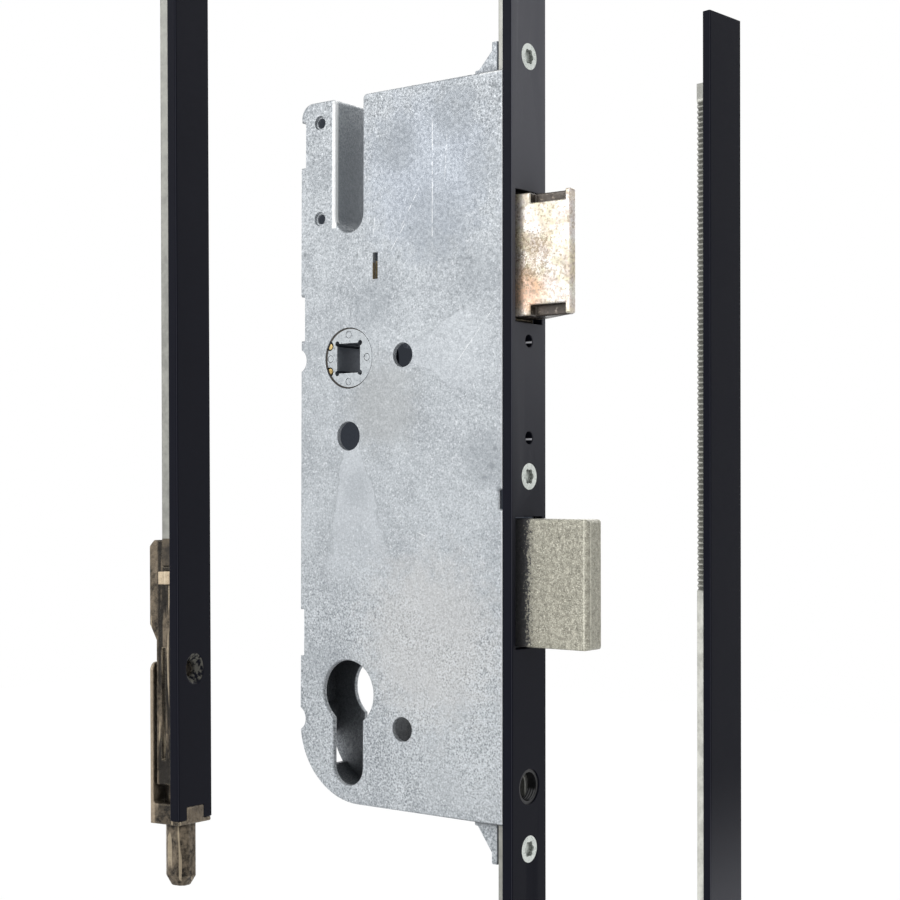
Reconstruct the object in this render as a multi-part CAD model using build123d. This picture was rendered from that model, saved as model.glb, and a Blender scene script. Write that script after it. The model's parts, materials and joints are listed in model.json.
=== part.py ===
"""Multipoint door lock: gearbox case, latch, deadbolt, drive rods and bottom shootbolt.

X points out of the door edge, Y goes through the door, Z is up.
The origin is the centre of the spindle follower. All lengths are in millimetres.
"""
import math
import os

from build123d import *

# Fits and shared values
run_gap = 0.12            # sliding gap between flat moving faces
bore_gap = 0.05           # radial gap of a wheel on its post
side_gap = 0.30           # free room beside a moving lever
over = 1.0                # how far a cutter runs past the face it opens

# Faceplate
backset = 55.0            # spindle axis to the front of the faceplate
plate_width = 16.0
plate_thick = 3.0
plate_up = 400.0          # top end above the spindle
plate_down = 950.0        # bottom end below the spindle
plate_edge = 0.4          # broken front edges
opening_half = 6.2        # half width of the latch and deadbolt openings
opening_gap = 1.3         # room above the latch in its opening
bolt_opening_gap = 0.5
peep_radius = 1.7         # two small holes between latch and deadbolt
peep_high = 2.35
peep_low = -22.8

# Gearbox case
centres = 92.0            # spindle to cylinder
case_thick = 15.0
wall = 1.4
case_up = 72.5
case_down = 122.2
case_rear = 17.6          # rear edge behind the spindle axis
corner_radius = 21.0      # large lower rear corner
prong_corner = 4.0
small_corner = 1.2
notch_half = 4.9          # slot cut in from the top edge
notch_floor = 34.9
recess_depth = 1.4
recess_top_drop = 5.1
recess_top_height = 12.8
recess_mid_high = 18.0
recess_mid_low = 5.6
recess_low_high = -69.9
recess_low_low = -82.8
edge_notch_high = -36.3
edge_notch_low = -41.2
edge_notch_depth = 1.5
corner_open_depth = 8.0    # gap in the folded rim at the large corner
corner_open_rise = 8.5
view_slot_x = 9.4         # narrow slot that shows the latch tail
view_slot_width = 1.8
view_slot_high = 28.5
view_slot_low = 21.2
rivet_x = -10.6
rivet_radius = 1.95
rivet_top_drop = 6.0      # upper rivet below the top edge
rivet_low = 39.5
rivet_bore_share = 0.72

# Holes for handle and escutcheon screws
rose_offset = 19.0
rose_radius = 3.3
handle_drop = 21.5
handle_radius = 4.0
escutcheon_drop = 8.4     # below the cylinder centre

# Euro profile cut-out
cylinder_radius = 8.85
cylinder_web = 10.3
cylinder_drop = 25.3      # lowest point below the cylinder centre
cylinder_screw_drop = 20.8
cylinder_screw_hole = 4.5
eyelet_thick = 0.8
eyelet_depth = 2.6

# Gear teeth
backset_modules = 44      # the backset counted in gear modules
pressure_angle = 25.0
addendum_share = 0.8
dedendum_share = 1.05
backlash = 0.18           # taken off each tooth at the pitch line
flank_shares = (0, 0.3, 0.65, 1)
rack_spare_share = 1.6    # rack beyond the meshing point, in pitches
rack_end_share = 1.5
rack_top_share = 1.2
rack_low_share = 1.3
follower_teeth = 22
idler_small_teeth = 14
idler_large_teeth = 23
reverser_teeth = 10
transfer_teeth = 12

# Layers across the case, measured from its middle plane
tail_near = -4.9
tail_far = -3.1
arm_near = -2.9
arm_far = -1.1
wheel_near = 2.3
wheel_mid = 4.1
wheel_layer_gap = 0.2
wheel_far = 5.9
core_far = 2.1

# Follower
turn = 45.0               # handle movement in degrees
socket = 8.2              # square spindle socket
socket_relief = 0.7
journal_radius = 8.35
core_radius = 8.0
neck_radius = 6.6
arm_width = 6.0
arm_pin_radius = 1.6
arm_pin_near = -5.3
lobe_reach = 10.5
lobe_radius = 1.5
lobe_beam_share = 0.5     # half width of the lobe's beam in tip radii
dimple_radius = 1.0
dimple_depth = 0.5
dimple_circle = 6.5
brass_insert_radius = 1.3
brass_insert_angle = 28.0
sector_first = -12.0
sector_last = 72.0
wedge_share = 1.3          # reach of the wedge that cuts the toothed sector

# Wheels on posts
idler_angle = 53.76       # direction from the follower to the idler, in degrees
post_radius = 2.5
post_start = 2.1
reverser_z = -18.0
transfer_x = 14.8
transfer_z = -77.0
transfer_half = 1.9

# Latch bolt
latch_low = 8.3
latch_high = 40.0
latch_half = 5.0
latch_out = 15.9
latch_behind = 3.0        # back of the latch head behind the faceplate
latch_travel = 15.0
latch_tip = 2.3           # thickness left at the bevelled tip
latch_bevel_start = 2.5
latch_pocket_height = 2.7
latch_pocket_depth = 2.6
latch_pocket_start = 3.6
latch_pocket_end = 14.2
latch_edge = 0.5
tail_low = 14.0
tail_high = 26.5
tail_rear = 2.5
guide_depth = 3.3
guide_wall = 1.6

# Springs
spring_wire = 0.8
steps_per_turn = 24
latch_spring_radius = 2.5
latch_spring_z = 31.2
latch_spring_y = -0.8
latch_spring_turns = 5
latch_spring_room = 22.0
stop_thick = 1.6

# Deadbolt
bolt_high = -43.7
bolt_low = -76.6
bolt_half = 3.5
bolt_behind = 6.0
bolt_throw_modules = 16    # throw of the deadbolt in gear modules
bolt_edge = 1.2
bolt_tail_half = 1.9
bolt_tail_top = -60.0
bolt_tail_rear = 10.0
ramp_rise = 2.0
ramp_flat = 3.0           # level stretch between ramp and head
nose_x = 23.0
tumbler_pivot_x = 9.0
tumbler_pivot_z = -52.0
tumbler_radius = 3.2
tumbler_post = 1.5
tumbler_width = 3.0
bolt_guide_drop = 4.2

# Return spring and plunger
plunger_front = -8.6
plunger_rear = -13.6
plunger_near = -3.6
plunger_far = 1.8
plunger_height = 9.0
plunger_seat = -45.0
return_spring_radius = 2.0
return_spring_turns = 9
seat_thick = 2.0

# Drive rods
rod_thick = 2.5
rod_half = 6.0
rail_thick = 3.0
rail_half = 7.25
screw_slot_half = 2.6
slide_arm_drop = 2.5
slide_arm_height = 9.7
lower_slide_back = 3.75   # metal in front of the lower rack
joint_above = 69.5        # coupling above the case
toothed_top_drop = 20.0   # end of the toothed rail below the end of the faceplate
tooth_pitch = 1.5
tooth_depth = 0.8
tooth_count = 92
tooth_plain = 5.0
marker_every = 28
marker_rise = 0.4
lower_rod_below = 18.2    # top of the lower rod below the deadbolt's guide
lower_rod_lap = 13.0
joint_below = 37.8        # coupling below the case
tongue_half = 2.5
tongue_head_half = 4.2
tongue_length = 8.0
tongue_head = 3.5
keeper_radius = 2.0
keeper_head_radius = 3.6
keeper_head = 1.0
keeper_above = 20.0       # first upper keeper above the coupling
keeper_pitch = 45.0
keeper_upper_count = 2

# Faceplate screws and open screw holes
screw_above = 4.1
screw_mid = -32.8
screw_below = 6.6
screw_radius = 2.0
screw_head_radius = 3.5
screw_reach = 9.5         # from the faceplate front
drive_radius = 1.5
drive_depth = 1.1
drive_lobes = 6
drive_lobe_radius = 0.5
fixing_radius = 2.2
fixing_head_radius = 4.2
fixing_lowest = 40.0      # above the bottom end of the faceplate
fixing_first = 295.0      # nearest lower hole below the spindle
fixing_count = 4
fixing_above = 37.5       # upper hole above the case

# Fixing lugs at the ends of the case
lug_gap = 0.6             # free room behind the drive rod
lug_thick = 1.9
lug_half = 5.5
lug_up = 8.1
lug_down = 10.6
lug_foot = 5.4
lug_web = 1.6
lug_base = 1.3
lug_web_share = 0.72
mid_block_high = -28.0
mid_block_depth = 8.0
mid_block_far = 1.9

# Shootbolt end
foot_height = 5.5
foot_drop = 1.2
foot_depth = 7.8
foot_half = 7.4
foot_tab_half = 4.0
foot_tab_high = 3.5
guide_wall_thick = 1.2
guide_high = 43.0
guide_corner = 2.4
boss_radius = 3.3
pin_half = 4.0
pin_corner = 2.1
pin_behind = 2.4
pin_out = 16.8
pin_root = 1.0            # length of the pin inside the body
pin_point = 2.6
pin_point_share = 0.62
bolt_body_low = 10.4
bolt_body_bend = 49.0
bolt_body_slope = 4.2
bolt_body_top = 75.6
bolt_body_half = 6.9
bolt_body_depth = 5.8
bolt_head_depth = 8.2
bolt_body_front_gap = 0.2
head_chamfer = 1.6
rod_overlap = 7.0
key_height = 3.6
key_drop = 8.4
key_depth = 2.2
groove_depth = 0.9
groove_edge = 2.2
groove_rise = 6.6

# Worked out places
plate_back = backset - plate_thick
module = backset / backset_modules
case_half = case_thick / 2
inner_half = case_half - wall
plate_half = plate_width / 2
cylinder_z = -centres
escutcheon_z = cylinder_z - escutcheon_drop
cylinder_screw_z = cylinder_z - cylinder_screw_drop
rod_front = plate_back - run_gap
rod_rear = rod_front - rod_thick
rail_rear = rod_front - rail_thick
follower_pitch = follower_teeth * module / 2
idler_small_pitch = idler_small_teeth * module / 2
idler_large_pitch = idler_large_teeth * module / 2
reverser_pitch = reverser_teeth * module / 2
transfer_pitch = transfer_teeth * module / 2
idler_distance = follower_pitch + idler_small_pitch
idler_x = idler_distance * math.cos(math.radians(idler_angle))
idler_z = idler_distance * math.sin(math.radians(idler_angle))
idler_turn = turn * follower_teeth / idler_small_teeth
rod_travel = math.radians(idler_turn) * idler_large_pitch
rack_pitch = math.pi * module
upper_rack_x = idler_x + idler_large_pitch
bar_rear_root = upper_rack_x + dedendum_share * module
lower_rack_x = rod_front - lower_slide_back - dedendum_share * module
reverser_x = lower_rack_x - reverser_pitch
lower_side_x = reverser_x - reverser_pitch
slide_bar_front = lower_side_x - dedendum_share * module
slide_arm_high = case_up - slide_arm_drop
slide_arm_low = slide_arm_high - slide_arm_height
upper_joint = case_up + joint_above
lower_joint = case_down + joint_below
lower_rod_top = bolt_low - bolt_guide_drop - lower_rod_below
lower_plate_end = lower_rod_top - lower_rod_lap
rivet_high = case_up - rivet_top_drop
recess_top_high = case_up - recess_top_drop
recess_top_low = recess_top_high - recess_top_height
screw_top = case_up + screw_above
screw_low = -case_down - screw_below
latch_back = plate_back - latch_behind
stop_x = latch_back - latch_spring_room
bolt_back = plate_back - bolt_behind
bolt_travel = bolt_throw_modules * module
mid_block_rear = plate_back - mid_block_depth
foot_rear = plate_back - foot_depth
pin_x = plate_back - pin_behind
bolt_body_rear = plate_back - bolt_body_depth
bolt_head_rear = plate_back - bolt_head_depth
arm_angle = math.radians(turn / 2)
arm_reach = latch_travel / (2 * math.sin(arm_angle))
arm_x = arm_reach * math.sin(arm_angle)
arm_z = arm_reach * math.cos(arm_angle)
lobe_x = -lobe_reach * math.cos(arm_angle)
lobe_z = lobe_reach * math.sin(arm_angle)
plunger_travel = lobe_reach * 2 * math.sin(arm_angle)
plunger_top = lobe_z - lobe_radius - run_gap
plate_bottom = -plate_down
toothed_top = plate_up - toothed_top_drop
foot_low = plate_bottom - foot_drop
lug_front = rod_rear - lug_gap
lug_rear = lug_front - lug_thick
fixing_low_z = plate_bottom + fixing_lowest
fixing_pitch = (plate_down - fixing_lowest - fixing_first) / (fixing_count - 1)
fixing_upper = case_up + fixing_above
bolt_rack_z = transfer_z + transfer_pitch


def block(x0, x1, y0, y1, z0, z1):
    """Box between two corners."""
    middle = Pos((x0 + x1) / 2, (y0 + y1) / 2, (z0 + z1) / 2)
    return middle * Box(abs(x1 - x0), abs(y1 - y0), abs(z1 - z0))


def round_y(x, z, radius, y0, y1):
    """Round bar or bore through the door's thickness."""
    return Pos(x, (y0 + y1) / 2, z) * Rot(X=90) * Cylinder(radius, abs(y1 - y0))


def round_x(y, z, radius, x0, x1):
    """Round bar or bore along the direction of the bolts."""
    return Pos((x0 + x1) / 2, y, z) * Rot(Y=90) * Cylinder(radius, abs(x1 - x0))


def cone_x(y, z, radius_back, radius_front, x0, x1):
    """Cone along X from the back radius at x0 to the front radius at x1."""
    return Pos((x0 + x1) / 2, y, z) * Rot(Y=90) * Cone(radius_back, radius_front, x1 - x0)


def plate_y(points, y0, y1):
    """Flat plate of an XZ outline between two Y planes."""
    outline = Polyline(*[(x, y0, z) for x, z in points], close=True)
    return extrude(make_face(outline), amount=y1 - y0, dir=(0, 1, 0))


def slot_z(y_half, z0, z1, x0, x1, y=0):
    """Upright slot cutter with round ends, along X."""
    bar = block(x0, x1, y - y_half, y + y_half, z0 + y_half, z1 - y_half)
    low = round_x(y, z0 + y_half, y_half, x0, x1)
    high = round_x(y, z1 - y_half, y_half, x0, x1)
    return bar + low + high


def one_solid(shape):
    """The single solid of a shape made by joining."""
    solids = shape.solids()
    return solids[0] if len(solids) == 1 else shape


def involute_flank(teeth, tip_radius, root_radius):
    """Radius and half thickness angle from root to tip of one flank."""
    pitch = teeth * module / 2
    alpha = math.radians(pressure_angle)
    base = pitch * math.cos(alpha)
    half_pitch = math.pi / (2 * teeth) - backlash / (2 * pitch)
    offset = half_pitch + math.tan(alpha) - alpha
    start = max(base, root_radius)
    flank = []
    for share in flank_shares:
        radius = start + (tip_radius - start) * share
        roll = math.acos(min(1, base / radius))
        flank.append((radius, offset - (math.tan(roll) - roll)))
    if root_radius < start:
        flank.insert(0, (root_radius, flank[0][1]))
    return flank


def gear_plate(x, z, teeth, y0, y1, tooth_angle):
    """Toothed wheel with one tooth centred on an angle."""
    pitch = teeth * module / 2
    tip = pitch + addendum_share * module
    root = pitch - dedendum_share * module
    flank = involute_flank(teeth, tip, root)
    points = []
    for index in range(teeth):
        centre = math.radians(tooth_angle) + index * 2 * math.pi / teeth
        rising = [(radius, centre - half) for radius, half in flank]
        falling = [(radius, centre + half) for radius, half in reversed(flank)]
        for radius, angle in rising + falling:
            points.append((x + radius * math.cos(angle), z + radius * math.sin(angle)))
    return plate_y(points, y0, y1)


def rack_points(pitch_line, gap_centre, low, high, side):
    """Teeth of a straight rack as an open outline; side is +1 for teeth towards +."""
    slope = math.tan(math.radians(pressure_angle))
    tip = addendum_share * module
    root = dedendum_share * module
    half = rack_pitch / 4 - backlash / 2
    points = []
    first = math.ceil((low - gap_centre) / rack_pitch + 0.5)
    last = math.floor((high - gap_centre) / rack_pitch - 0.5)
    for index in range(first, last + 1):
        centre = gap_centre + (index + 0.5) * rack_pitch
        if centre + rack_pitch / 2 > high:
            break
        points.append((pitch_line - side * root, centre - half - root * slope))
        points.append((pitch_line + side * tip, centre - half + tip * slope))
        points.append((pitch_line + side * tip, centre + half - tip * slope))
        points.append((pitch_line - side * root, centre + half + root * slope))
    return points


def coil_gap(radius, wire, length, turns):
    """Least free distance between the wire of one coil and that of any other."""
    count = turns * steps_per_turn
    points = []
    for index in range(count + 1):
        angle = index * 2 * math.pi / steps_per_turn
        points.append((radius * math.cos(angle), radius * math.sin(angle), length * index / count))
    least = length
    for index, point in enumerate(points):
        for other in points[index + steps_per_turn // 2:]:
            least = min(least, math.dist(point, other))
    return least - wire


def helix_spring(radius, wire, length, turns):
    """Open coil spring along Z from the origin."""
    path = Helix(pitch=length / turns, height=length, radius=radius)
    start = Plane(origin=path @ 0, z_dir=path % 0)
    section = start * Circle(wire / 2)
    print("least gap between coils", round(coil_gap(radius, wire, length, turns), 2))
    return sweep(section, path=path)


def case_profile(inset, y0, y1):
    """Side outline of the case, moved in by an inset on every wall but the front."""
    low = -case_down + inset
    high = case_up - inset
    rear = -case_rear + inset
    body = block(rear, plate_back, y0, y1, low, high)
    across = [e for e in body.edges().filter_by(Axis.Y) if e.center().X < rear + over]
    body = fillet([e for e in across if e.center().Z < low + over], corner_radius - inset)
    across = [e for e in body.edges().filter_by(Axis.Y) if e.center().X < rear + over]
    body = fillet([e for e in across if e.center().Z > high - over], prong_corner - inset)
    notch = notch_half + inset
    centre = notch_floor + notch_half
    body -= block(-notch, notch, y0 - over, y1 + over, centre, case_up + over)
    body -= round_y(0, centre, notch, y0 - over, y1 + over)
    across = body.edges().filter_by(Axis.Y)
    lips = [e for e in across if abs(abs(e.center().X) - notch) < over and e.center().Z > high - over]
    body = fillet(lips, small_corner)
    for top, bottom in (
        (recess_top_high, recess_top_low),
        (recess_mid_high, recess_mid_low),
        (recess_low_high, recess_low_low),
    ):
        body -= block(
            rear - over, rear + recess_depth, y0 - over, y1 + over,
            bottom - inset, top + inset,
        )
    for z in (0, escutcheon_z):
        body -= round_y(-rose_offset, z, rose_radius + inset, y0 - over, y1 + over)
    return body


def euro_cutter(gap, y0, y1):
    """Cutter of the cylinder's round and web."""
    foot_radius = cylinder_web / 2 + gap
    foot_z = cylinder_z - cylinder_drop + cylinder_web / 2
    cutter = round_y(0, cylinder_z, cylinder_radius + gap, y0, y1)
    cutter += block(-foot_radius, foot_radius, y0, y1, foot_z, cylinder_z)
    return cutter + round_y(0, foot_z, foot_radius, y0, y1)


def case_holes(y0, y1):
    """All openings that pass through a side wall of the case."""
    holes = euro_cutter(0, y0, y1)
    holes += round_y(rose_offset, 0, rose_radius, y0, y1)
    holes += round_y(rose_offset, escutcheon_z, rose_radius, y0, y1)
    holes += round_y(0, -handle_drop, handle_radius, y0, y1)
    holes += round_y(0, 0, journal_radius + bore_gap, y0, y1)
    for z in (rivet_high, rivet_low):
        holes += round_y(rivet_x, z, rivet_radius, y0, y1)
    return holes


def make_case_tray():
    """Near side wall with the walls folded round the edge."""
    tray = case_profile(0, -case_half, inner_half)
    tray -= case_profile(wall, -inner_half, inner_half + over)
    rod_room = rod_rear - run_gap
    tray -= block(
        rod_room, plate_back + over, -inner_half, inner_half + over,
        -case_down - over, case_up + over,
    )
    tray -= case_holes(-case_half - over, -inner_half + over)
    slot_half = view_slot_width / 2
    tray -= block(
        view_slot_x - slot_half, view_slot_x + slot_half,
        -case_half - over, -inner_half + over, view_slot_low, view_slot_high,
    )
    tray -= block(
        plate_back - edge_notch_depth, plate_back + over,
        -case_half - over, -inner_half + over, edge_notch_low, edge_notch_high,
    )
    tray -= block(
        -case_rear - over, corner_open_depth - case_rear, -inner_half, inner_half + over,
        corner_open_rise - case_down, escutcheon_z - rose_radius - wall,
    )
    return one_solid(tray)


def post_places():
    """Centre of every wheel post on the cover."""
    return (
        (idler_x, idler_z, post_radius),
        (reverser_x, reverser_z, post_radius),
        (transfer_x, transfer_z, post_radius),
        (tumbler_pivot_x, tumbler_pivot_z, tumbler_post),
    )


def make_case_cover():
    """Flat far side wall that closes the tray."""
    cover = case_profile(0, inner_half, case_half)
    cover -= case_holes(inner_half - over, case_half + over)
    for x, z, radius in post_places():
        cover -= round_y(x, z, radius, inner_half - over, case_half + over)
    return one_solid(cover)


def make_wheel_posts():
    """Posts riveted into the cover that carry the wheels and the tumbler."""
    starts = (post_start, post_start, -transfer_half - run_gap, -transfer_half - run_gap)
    posts = []
    for (x, z, radius), start in zip(post_places(), starts):
        posts.append(round_y(x, z, radius, start, case_half))
    return Compound(children=posts)


def make_case_rivets():
    """Hollow rivets that hold cover and tray together on the prong."""
    rivets = []
    for z in (rivet_high, rivet_low):
        tube = round_y(rivet_x, z, rivet_radius, -case_half + wall / 2, case_half - wall / 2)
        rivets.append(tube - round_y(rivet_x, z, rivet_radius * rivet_bore_share, -case_half, case_half))
    return Compound(children=rivets)


def countersink(z, radius, head_radius):
    """Screw hole with its countersink through the faceplate."""
    drill = round_x(0, z, radius, plate_back - over, backset + over)
    depth = head_radius - radius
    sink = cone_x(0, z, radius, head_radius, backset - depth, backset)
    return drill + sink


def fixing_heights():
    """Heights of the open screw holes for the door."""
    return [fixing_low_z + index * fixing_pitch for index in range(fixing_count)] + [fixing_upper]


def make_faceplate():
    """Long front plate with openings, screw holes and the notch for the foot."""
    plate = block(plate_back, backset, -plate_half, plate_half, plate_bottom, plate_up)
    front = [e for e in plate.edges().filter_by(Axis.Z) if e.center().X > backset - over]
    plate = chamfer(front, plate_edge)
    for low, high, gap in (
        (latch_low, latch_high, opening_gap),
        (bolt_low, bolt_high, bolt_opening_gap),
    ):
        plate -= block(
            plate_back - over, backset + over, -opening_half, opening_half, low - gap, high + gap,
        )
    for z in (screw_top, screw_mid, screw_low):
        plate -= countersink(z, screw_radius, screw_head_radius)
    for z in fixing_heights():
        plate -= countersink(z, fixing_radius, fixing_head_radius)
    for z in (peep_high, peep_low):
        plate -= round_x(0, z, peep_radius, plate_back - over, backset + over)
    plate -= round_x(0, cylinder_screw_z, cylinder_screw_hole, plate_back - over, backset + over)
    plate -= block(
        plate_back - over, backset + over, -foot_tab_half, foot_tab_half,
        plate_bottom - over, plate_bottom + foot_tab_high,
    )
    for z in keeper_heights():
        plate -= round_x(0, z, keeper_radius, plate_back - over, plate_back + plate_thick / 2)
    relief_top = foot_low + bolt_body_low + pin_root + rod_travel + side_gap
    plate -= pin_bar(run_gap, plate_bottom - over, relief_top)
    return one_solid(plate)


def make_faceplate_screws():
    """Countersunk screws with star drives that hold case and faceplate."""
    screws = []
    for z in (screw_top, screw_mid, screw_low):
        depth = screw_head_radius - screw_radius
        screw = round_x(0, z, screw_radius, backset - screw_reach, backset - depth)
        screw += cone_x(0, z, screw_radius, screw_head_radius, backset - depth, backset)
        drive = round_x(0, z, drive_radius - drive_lobe_radius / 2, backset - drive_depth, backset + over)
        for index in range(drive_lobes):
            angle = index * 2 * math.pi / drive_lobes
            y = (drive_radius - drive_lobe_radius) * math.cos(angle)
            up = (drive_radius - drive_lobe_radius) * math.sin(angle)
            drive += round_x(y, z + up, drive_lobe_radius, backset - drive_depth, backset + over)
        screws.append(one_solid(screw - drive))
    return Compound(children=screws)


def make_eyelet():
    """Threaded eyelet for the cylinder fixing screw, in the faceplate."""
    ring = round_x(0, cylinder_screw_z, cylinder_screw_hole, plate_back, plate_back + eyelet_depth)
    bore = cylinder_screw_hole - eyelet_thick
    return one_solid(ring - round_x(0, cylinder_screw_z, bore, plate_back - over, backset))


def make_lug(sign, end, screw_z, reach):
    """Bent lug on the end wall of the case that takes a faceplate screw."""
    tip = end + sign * reach
    foot_rear_x = lug_rear - lug_foot
    base = block(foot_rear_x, lug_front, -lug_half, lug_half, end, end + sign * lug_base)
    flange = block(lug_rear, lug_front, -lug_half, lug_half, end, tip)
    lug = base + flange
    for near in (-lug_half, lug_half - lug_web):
        points = [
            (foot_rear_x, end),
            (lug_rear, end),
            (lug_rear, end + sign * reach * lug_web_share),
        ]
        lug += plate_y(points, near, near + lug_web)
    lug -= round_x(0, screw_z, screw_radius, lug_rear - over, lug_front + over)
    return one_solid(lug)


def make_middle_block():
    """Block behind the faceplate that takes the middle screw and guides the deadbolt."""
    body = block(
        mid_block_rear, rod_front + run_gap, -inner_half, mid_block_far,
        bolt_high + run_gap, mid_block_high,
    )
    body -= block(
        plate_back - edge_notch_depth, plate_back + over, -inner_half - over, -inner_half + wall,
        edge_notch_low, edge_notch_high,
    )
    return one_solid(body - round_x(0, screw_mid, screw_radius, mid_block_rear - over, plate_back + over))


def make_bolt_guide():
    """Block under the deadbolt."""
    return block(
        mid_block_rear, plate_back, -inner_half, bolt_half,
        bolt_low - bolt_guide_drop, bolt_low - run_gap,
    )


def make_latch_guide():
    """Ring round the latch behind the faceplate."""
    outer = block(
        plate_back - guide_depth, plate_back, -inner_half, inner_half,
        latch_low - guide_wall - run_gap, latch_high + guide_wall + run_gap,
    )
    inner = block(
        plate_back - guide_depth - over, plate_back + over, -latch_half - run_gap, latch_half + run_gap,
        latch_low - run_gap, latch_high + run_gap,
    )
    return one_solid(outer - inner)


def make_follower():
    """Spindle follower: journals, socket, latch arm, spring lobe and toothed sector."""
    body = round_y(0, 0, journal_radius, -case_half, -inner_half + run_gap)
    body += round_y(0, 0, core_radius, -inner_half, core_far)
    body += round_y(0, 0, neck_radius, core_far, wheel_mid + wheel_layer_gap)
    wheel = gear_plate(0, 0, follower_teeth, wheel_mid + wheel_layer_gap, wheel_far, idler_angle)
    reach = follower_pitch + module * 2
    first = math.radians(sector_first)
    last = math.radians(sector_last)
    middle = (first + last) / 2
    wedge = plate_y(
        [
            (0, 0),
            (reach * math.cos(first), reach * math.sin(first)),
            (reach * wedge_share * math.cos(middle), reach * wedge_share * math.sin(middle)),
            (reach * math.cos(last), reach * math.sin(last)),
        ],
        wheel_mid, wheel_far + over,
    )
    body += wheel & wedge
    body += round_y(0, 0, core_radius, wheel_mid + wheel_layer_gap, wheel_far)
    body += round_y(0, 0, journal_radius, wheel_far, case_half)
    half = arm_width / 2
    lean = math.degrees(arm_angle)
    arm = block(-half, half, arm_near, arm_far, 0, arm_reach)
    body += Rot(Y=lean) * arm
    body += round_y(arm_x, arm_z, half, arm_near, arm_far)
    body += round_y(arm_x, arm_z, arm_pin_radius, arm_pin_near, arm_near)
    beam_half = lobe_radius * lobe_beam_share
    lobe = block(-lobe_reach, 0, plunger_near, plunger_far, -beam_half, beam_half)
    body += Rot(Y=lean) * lobe
    body += round_y(lobe_x, lobe_z, lobe_radius, plunger_near, plunger_far)
    half_socket = socket / 2
    body -= block(-half_socket, half_socket, -case_half - over, case_half + over, -half_socket, half_socket)
    for x in (-half_socket, half_socket):
        for z in (-half_socket, half_socket):
            body -= round_y(x, z, socket_relief, -case_half - over, case_half + over)
    for index in range(4):
        angle = index * math.pi / 2
        x = dimple_circle * math.cos(angle)
        z = dimple_circle * math.sin(angle)
        body -= round_y(x, z, dimple_radius, -case_half - over, -case_half + dimple_depth)
    for x, z in insert_places():
        body -= round_y(x, z, brass_insert_radius, -case_half - over, -inner_half)
    return one_solid(body)


def insert_places():
    """Centres of the two brass clamp pins on the rim of the follower."""
    radius = journal_radius - brass_insert_radius / 2
    places = []
    for side in (-1, 1):
        angle = math.radians(180 + side * brass_insert_angle)
        places.append((radius * math.cos(angle), radius * math.sin(angle)))
    return places


def make_follower_inserts():
    """Brass pins let into the rim of the follower."""
    disc = round_y(0, 0, journal_radius, -case_half, -inner_half)
    pins = []
    for x, z in insert_places():
        pin = round_y(x, z, brass_insert_radius, -case_half, -inner_half)
        pins.append(one_solid(pin & disc))
    return Compound(children=pins)


def make_idler():
    """Double wheel that steps the follower's turn up to the rod travel."""
    small = gear_plate(
        idler_x, idler_z, idler_small_teeth, wheel_mid, wheel_far,
        idler_angle + 180 + 180 / idler_small_teeth,
    )
    large = gear_plate(idler_x, idler_z, idler_large_teeth, wheel_near, wheel_mid, 0)
    bore = round_y(idler_x, idler_z, post_radius + bore_gap, wheel_near - over, wheel_far + over)
    return one_solid(small + large - bore)


def make_reverser():
    """Small pinion between the two racks that turns the lower rod's motion round."""
    wheel = gear_plate(reverser_x, reverser_z, reverser_teeth, wheel_near, wheel_mid, 180)
    bore = round_y(reverser_x, reverser_z, post_radius + bore_gap, wheel_near - over, wheel_mid + over)
    return one_solid(wheel - bore)


def make_upper_slide():
    """Inner bar with a rack on both edges and an arm forward to the upper rod."""
    low = reverser_z - rack_pitch * rack_end_share
    spare = rack_pitch * rack_spare_share
    idler_teeth = rack_points(
        upper_rack_x, idler_z, idler_z - spare, idler_z + rod_travel + spare, -1,
    )
    reverser_rack = rack_points(
        lower_side_x, reverser_z, reverser_z - spare, reverser_z + rod_travel + spare, 1,
    )
    rear_root = bar_rear_root
    front_root = slide_bar_front
    outline = [(rear_root, low)] + idler_teeth + [(rear_root, slide_arm_high)]
    outline += [(rod_rear, slide_arm_high), (rod_rear, slide_arm_low), (front_root, slide_arm_low)]
    outline += list(reversed(reverser_rack)) + [(front_root, low)]
    return one_solid(plate_y(outline, wheel_near, wheel_mid))


def make_upper_rod():
    """Flat rod from the arm of the inner bar up behind the faceplate."""
    rod = block(rod_rear, rod_front, -rod_half, rod_half, slide_arm_low, upper_joint)
    for z in (screw_top, fixing_upper):
        rod -= slot_z(
            screw_slot_half, z - screw_slot_half, z + rod_travel + screw_slot_half,
            rod_rear - over, rod_front + over,
        )
    return one_solid(rod - coupling(upper_joint, -1, run_gap))


def coupling(z, sign, gap):
    """Tongue with a wide head, used as a solid and as the cutter for its seat."""
    neck = block(
        rod_rear - over, rod_front + over, -tongue_half - gap, tongue_half + gap,
        z, z + sign * (tongue_length + gap),
    )
    head = block(
        rod_rear - over, rod_front + over, -tongue_head_half - gap, tongue_head_half + gap,
        z + sign * (tongue_length - tongue_head - gap), z + sign * (tongue_length + gap),
    )
    return neck + head


def keeper_heights():
    """Heights of the keeper studs that hold the rails to the faceplate."""
    return upper_keepers() + lower_keepers()


def upper_keepers():
    """Heights of the keepers of the toothed rail."""
    return [upper_joint + keeper_above + index * keeper_pitch for index in range(keeper_upper_count)]


def lower_keepers():
    """Heights of the keepers of the lower rail, midway between the screw holes."""
    first = fixing_low_z + fixing_pitch / 2
    return [first + index * fixing_pitch for index in range(fixing_count)]


def keeper_room(z, sign):
    """Slot and sunk head room round one keeper stud over the rod travel."""
    low = min(z, z + sign * rod_travel)
    high = max(z, z + sign * rod_travel)
    slot = slot_z(
        keeper_radius + run_gap, low - keeper_radius - run_gap, high + keeper_radius + run_gap,
        rail_rear - over, rod_front + over,
    )
    wide = keeper_head_radius + run_gap
    sunk = slot_z(wide, low - wide, high + wide, rail_rear - over, rail_rear + keeper_head + run_gap)
    return slot + sunk


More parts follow.
